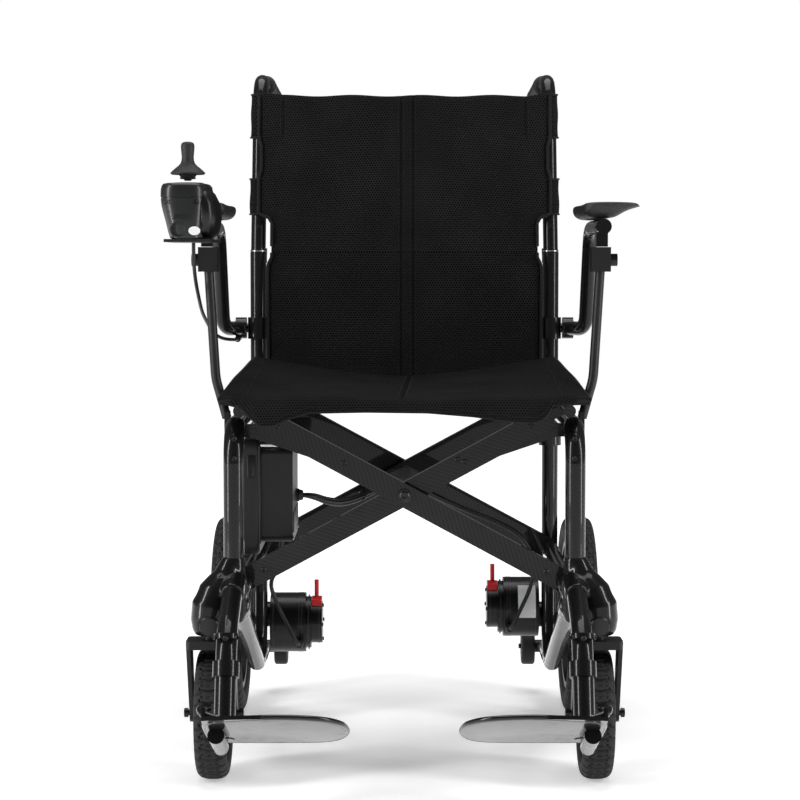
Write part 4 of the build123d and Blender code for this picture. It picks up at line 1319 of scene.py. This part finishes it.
right_motor_route = [
    (-0.012, 0.192, 0.355), (0.010, 0.197, 0.355), (0.042, 0.208, 0.340), (0.082, 0.212, 0.321),
    (0.122, 0.211, 0.305), (0.158, 0.208, 0.290), (0.184, 0.202, 0.268), (0.194, 0.201, 0.234),
    (0.188, 0.207, 0.200), (0.172, 0.206, 0.166), (0.158, 0.209, 0.136), (0.158, 0.236, 0.136),
]


def beside(points, across, up):
    """The same route moved off its line, except at its two ends."""
    last = len(points) - 1
    made = []
    for i, point in enumerate(points):
        share = sin(pi * i / last) ** 0.6 if 0 < i < last else 0.0
        made.append(tuple(Vector(point) + Vector((0, across * share, up * share))))
    return made


def cables():
    add("joystick_lead", lead(joystick_route, 0.0025), lead_rubber, "arm_left", ("joystick_cable",))
    left_lead = lead(left_motor_route, 0.0030)
    add("motor_lead_left", left_lead, lead_rubber, "left_frame", ("motor_cable_left",))
    bundle = [lead(beside(harness_route, a, b), 0.0024) for a, b in
              ((0.0, 0.0032), (-0.0042, 0.0), (0.0042, -0.0008), (0.0, -0.0042))]
    harness = add("harness_leads", joined(bundle), lead_rubber, None, ("cable_harness",))
    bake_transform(harness)
    right = add("motor_lead_right", lead(right_motor_route, 0.0030), lead_rubber, None,
                ("motor_cable_right",))
    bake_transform(right)
    ties = [collar(band(0.0012, 0.0062, 0.0074), place, way, 28) for place, way in (
        ((-0.0620, 0.1440, 0.3470), (0.5, 0.85, 0.15)), ((-0.0350, 0.1810, 0.3530), (0.7, 0.6, 0.2)),
    )]
    add("harness_ties", joined(ties), latch_plastic, "brace_left")
    glands = lathe([(-0.004, 0.0095), (0.001, 0.0095), (0.003, 0.0080), (0.008, 0.0072), (0.0095, 0.0058)],
                   (-0.152, 0.020, 0.360), (1, 0, 0), 32)
    add("harness_gland", glands, soft_rubber, "left_frame")


# ---------------------------------------------------------------- small hardware
def motors():
    for side_name, side in SIDES:
        body = f"{side_name}_frame"
        centre_z = rear_axle_z + side * motor_offset
        grooves = [
            collar(band(0.0008, radius - 0.0004, radius + 0.0006), (side * x, rear_axle_y, centre_z),
                   (side, 0, 0), 96)
            for x, radius in ((0.1985, motor_radius), (0.1595, motor_radius), (0.1555, motor_radius),
                              (0.1455, 0.0410), (0.1295, 0.0315))
        ]
        add(f"motor_rings_{side_name}", joined(grooves), motor_grey, body)
        screw = socket_screw(0.0027, 0.0022, 18)
        screw.transform(Matrix.Rotation(side * pi / -2, 4, "Y"))
        screw.transform(Matrix.Translation((0, 0, 0.0255)))
        add(f"motor_cap_screws_{side_name}",
            about_axle(screw, 4, (side * 0.1252, rear_axle_y, centre_z), black_steel), black_steel, body)
        plug = lathe([(-0.004, 0.0058), (0.005, 0.0055), (0.009, 0.0044), (0.016, 0.0040), (0.0165, 0.0034)],
                     (side * 0.158, 0.2375, centre_z - 0.026), FRONT, 28)
        add(f"motor_strain_relief_{side_name}", plug, soft_rubber, body)
    centre_z = rear_axle_z + motor_offset
    layers = []
    for radius in (motor_radius + 0.0003, motor_radius + 0.00065):
        layers.append(np.array([
            [(x, rear_axle_y - radius * cos(angle), centre_z + radius * sin(angle))
             for x in np.linspace(0.1715, 0.1980, 15)]
            for angle in np.radians(np.linspace(-14, 52, 23))
        ]))
    add("motor_blank_label", closed_sheet(*layers), paper, "right_frame")


def screwed(name, screw, spots, body, steel=black_steel):
    """Adds one piece of screws, each facing away from what it holds."""
    return add(name, scattered(screw, spots, steel), steel, body)


def hardware():
    small, large = (0.0032, 0.0022), (0.0062, 0.0045)
    for side_name, side in SIDES:
        frame_spots = [
            ((side * 0.2230, -0.1988, 0.4560), FRONT), ((side * 0.2230, -0.1988, 0.4300), FRONT),
            ((side * 0.2040, -0.1100 if side < 0 else -0.0920, 0.460), FRONT),
            ((side * 0.2250, 0.214, 0.4862), UP),
        ]
        for angle in (-58, 0, 58):
            way = (side * sin(radians(angle)), -cos(radians(angle)), 0.0)
            place = (side * leg_x + way[0] * knee_radius, knee_y + way[1] * knee_radius, knee_z)
            frame_spots.append((place, way))
        screwed(f"frame_screws_{side_name}", socket_screw(*small), frame_spots, f"{side_name}_frame")
        axle_spots = [((side * 0.2892, front_axle_y, front_axle_z), (side, 0, 0)),
                      ((side * 0.2188, front_axle_y, front_axle_z), (-side, 0, 0))]
        screwed(f"fork_axle_caps_{side_name}", socket_screw(*large, 30), axle_spots, f"caster_{side_name}")
        hub = lathe([(-0.004, 0.0215), (0.0002, 0.0215), (0.0016, 0.0200), (0.0022, 0.0120), (0.0024, 0.0006)],
                    (side * 0.2836, rear_axle_y, rear_axle_z), (side, 0, 0), 48)
        add(f"hub_cap_{side_name}", hub, rim_plastic, f"rear_wheel_{side_name}")
        bolt = socket_screw(0.0030, 0.0020, 18)
        bolt.transform(Matrix.Rotation(side * pi / 2, 4, "Y"))
        bolt.transform(Matrix.Translation((0, 0, 0.0280)))
        bolts = about_axle(bolt, 5, (side * 0.2826, rear_axle_y, rear_axle_z), black_steel)
        add(f"hub_bolts_{side_name}", bolts, black_steel, f"rear_wheel_{side_name}")
        x, y = tube_line(0.739)
        hinge_spots = [((side * x, y - 0.0108, 0.739), FRONT)]
        screwed(f"back_tube_screw_{side_name}", socket_screw(*small), hinge_spots, f"back_{side_name}")
        seam_ring = collar(band(0.0007, 0.0110, 0.0126), (side * tube_x, 0.2524, 0.7035), UP)
        add(f"hinge_ring_{side_name}", seam_ring, zinc_steel, f"back_{side_name}")
        knee_ring = collar([
            (-0.003, 0.0133), (0.003, 0.0133), (0.0036, 0.0146), (0.003, knee_radius), (-0.003, knee_radius),
            (-0.0036, 0.0146),
        ], (side * leg_x, knee_y + 0.0005, knee_z), (0, 0.25, 1))
        add(f"leg_clamp_{side_name}", knee_ring, carbon_shell, f"{side_name}_frame")
    for side_name, side, face in (("left", 1, -0.1212), ("right", -1, -0.1392)):
        spots = [((side * x, face, pivot_z + x * brace_rise), FRONT) for x in (0.0810, 0.170, -0.190)]
        if side > 0:
            spots.append(((0.0715, face, pivot_z + 0.0715 * brace_rise + 0.0085), FRONT))
        screwed(f"brace_screws_{side_name}", socket_screw(0.0038, 0.0024), spots, f"brace_{side_name}")
    ends = [((0, -0.1442, pivot_z), FRONT), ((0, 0.2402, pivot_z), (0, 1, 0))]
    screwed("pivot_screw", socket_screw(0.0066, 0.004, 30), ends, "pivot_bolt")


def handles():
    """Ribbed rubber grips over the push handles."""
    start, way = Vector((0.2131, 0.3590, 0.9577)), Vector((-0.02708, 0.99632, -0.08125))
    profile = [(-0.002, 0.0113), (0.0, 0.0146), (0.002, 0.0154), (0.006, 0.0155), (0.009, 0.0146)]
    for i in range(15):
        at = 0.012 + i * 0.0068
        profile += [(at, 0.0146), (at + 0.0012, 0.0152), (at + 0.0036, 0.0152), (at + 0.0048, 0.0146)]
    profile += [(0.1165, 0.0146), (0.1180, 0.0154), (0.1215, 0.0154), (0.1232, 0.0140), (0.1240, 0.0100),
                (0.1242, 0.0005)]
    for side_name, side in SIDES:
        grip = mirrored(lathe(profile, start, way), side)
        replaced = (f"push_grip_{side_name}",)
        add(f"ribbed_grip_{side_name}", grip, soft_rubber, f"back_{side_name}", replaced)


def cases():
    """Edge trim, cap, latch and screws on the battery and the control box."""
    low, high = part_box("control_box")
    trim = rounded_box((-0.1985, low[1] - 0.002, low[2] - 0.002), (-0.1955, high[1] + 0.002, high[2] + 0.002),
                       0.0012)
    add("control_box_trim", trim, case_grey, "left_frame")
    lid = rounded_box((high[0] - 0.0048, low[1] + 0.010, low[2] + 0.012),
                      (high[0] - 0.0028, high[1] - 0.010, 0.3460), 0.0009)
    add("control_box_plate", lid, case_grey, "left_frame")
    cap = rounded_box((-0.196, -0.087, 0.4365), (-0.170, -0.062, 0.4400), 0.0012)
    add("control_box_cap", cap, white_plastic, "left_frame")
    spots = [((-0.1522, y, z), (1.0, 0.0, 0.0)) for y in (-0.080, 0.054) for z in (0.312, 0.430)]
    screwed("control_box_screws", socket_screw(0.0026, 0.0014, 18), spots, "left_frame", zinc_steel)
    low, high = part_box("battery_case")
    ribs = [rounded_box((low[0] - 0.0008, low[1] + 0.018, z), (low[0] + 0.002, high[1] - 0.018, z + 0.003),
                        0.0007, 2) for z in np.arange(0.305, 0.432, 0.0105)]
    add("battery_ribs", joined(ribs), case_grey, "left_frame")
    catch = rounded_box((-0.214, -0.0895, 0.395), (-0.203, -0.086, 0.425), 0.0012)
    add("battery_catch", catch, latch_plastic, "left_frame")


# ---------------------------------------------------------------- floor, light and camera
def area_light(name, place, target, size, watts):
    data = bpy.data.lights.new(name, "AREA")
    data.shape, data.size, data.size_y = "RECTANGLE", *size
    data.energy = watts
    lamp = bpy.data.objects.new(name, data)
    lamp.location = place
    lamp.rotation_euler = (Vector(target) - Vector(place)).to_track_quat("-Z", "Y").to_euler()
    bpy.context.collection.objects.link(lamp)


def studio():
    """White floor and surroundings, one broad top light and two tall side lights."""
    floor_finish = Finish("floor_paper", Specular_IOR_Level=0.2, Emission_Strength=1.0)
    tone = floor_finish.noise(0.6, 2.0)
    east, north, _ = floor_finish.parts(floor_finish.place())
    far = ((east * east + north * north) ** 0.5).ramp(0.8, 3.2)
    floor_finish.set(
        Base_Color=floor_finish.colours(tone, grey(0.86), grey(0.9)),
        Roughness=floor_finish.noise(3.0) * 0.2 + 0.6,
        Emission_Color=floor_finish.colours(far, grey(0.36), grey(0.97)),
    )
    half = 9.0
    mesh = bpy.data.meshes.new("floor")
    mesh.from_pydata([(-half, -half, 0), (half, -half, 0), (half, half, 0), (-half, half, 0)], [], [(0, 1, 2, 3)])
    mesh.materials.append(floor_finish.material)
    floor = bpy.data.objects.new("floor", mesh)
    bpy.context.collection.objects.link(floor)

    world = bpy.data.worlds.new("studio")
    bpy.context.scene.world = world
    world.use_nodes = True
    background = world.node_tree.nodes["Background"]
    background.inputs["Color"].default_value = (1.0, 1.0, 1.0, 1.0)
    path = world.node_tree.nodes.new("ShaderNodeLightPath")
    strength = world.node_tree.nodes.new("ShaderNodeMapRange")
    strength.inputs["To Min"].default_value = 0.11
    strength.inputs["To Max"].default_value = 1.0
    world.node_tree.links.new(path.outputs["Is Camera Ray"], strength.inputs["Value"])
    world.node_tree.links.new(strength.outputs["Result"], background.inputs["Strength"])

    area_light("top_light", (0.0, 0.3, 3.4), (0.0, 0.1, 0.4), (2.6, 2.6), 74)
    area_light("left_light", (-2.3, -1.2, 1.3), (0.0, 0.0, 0.6), (0.4, 2.6), 62)
    area_light("right_light", (2.3, -1.0, 1.3), (0.0, 0.0, 0.6), (0.4, 2.6), 50)

    camera_data = bpy.data.cameras.new("camera")
    camera_data.lens, camera_data.sensor_width = 103.08, 36.0
    camera_data.shift_x = -0.0056
    camera = bpy.data.objects.new("camera", camera_data)
    camera.location = (0.0, -3.1887, 0.690)
    camera.rotation_euler = (radians(90 - 3.5), 0.0, 0.0)
    bpy.context.collection.objects.link(camera)
    bpy.context.scene.camera = camera
    bpy.context.scene.view_settings.view_transform = "Standard"


studio()
back_rest()
seat()
wheels()
caster_housings()
foot_plates()
arm_pads()
controller()
cables()
motors()
hardware()
handles()
cases()
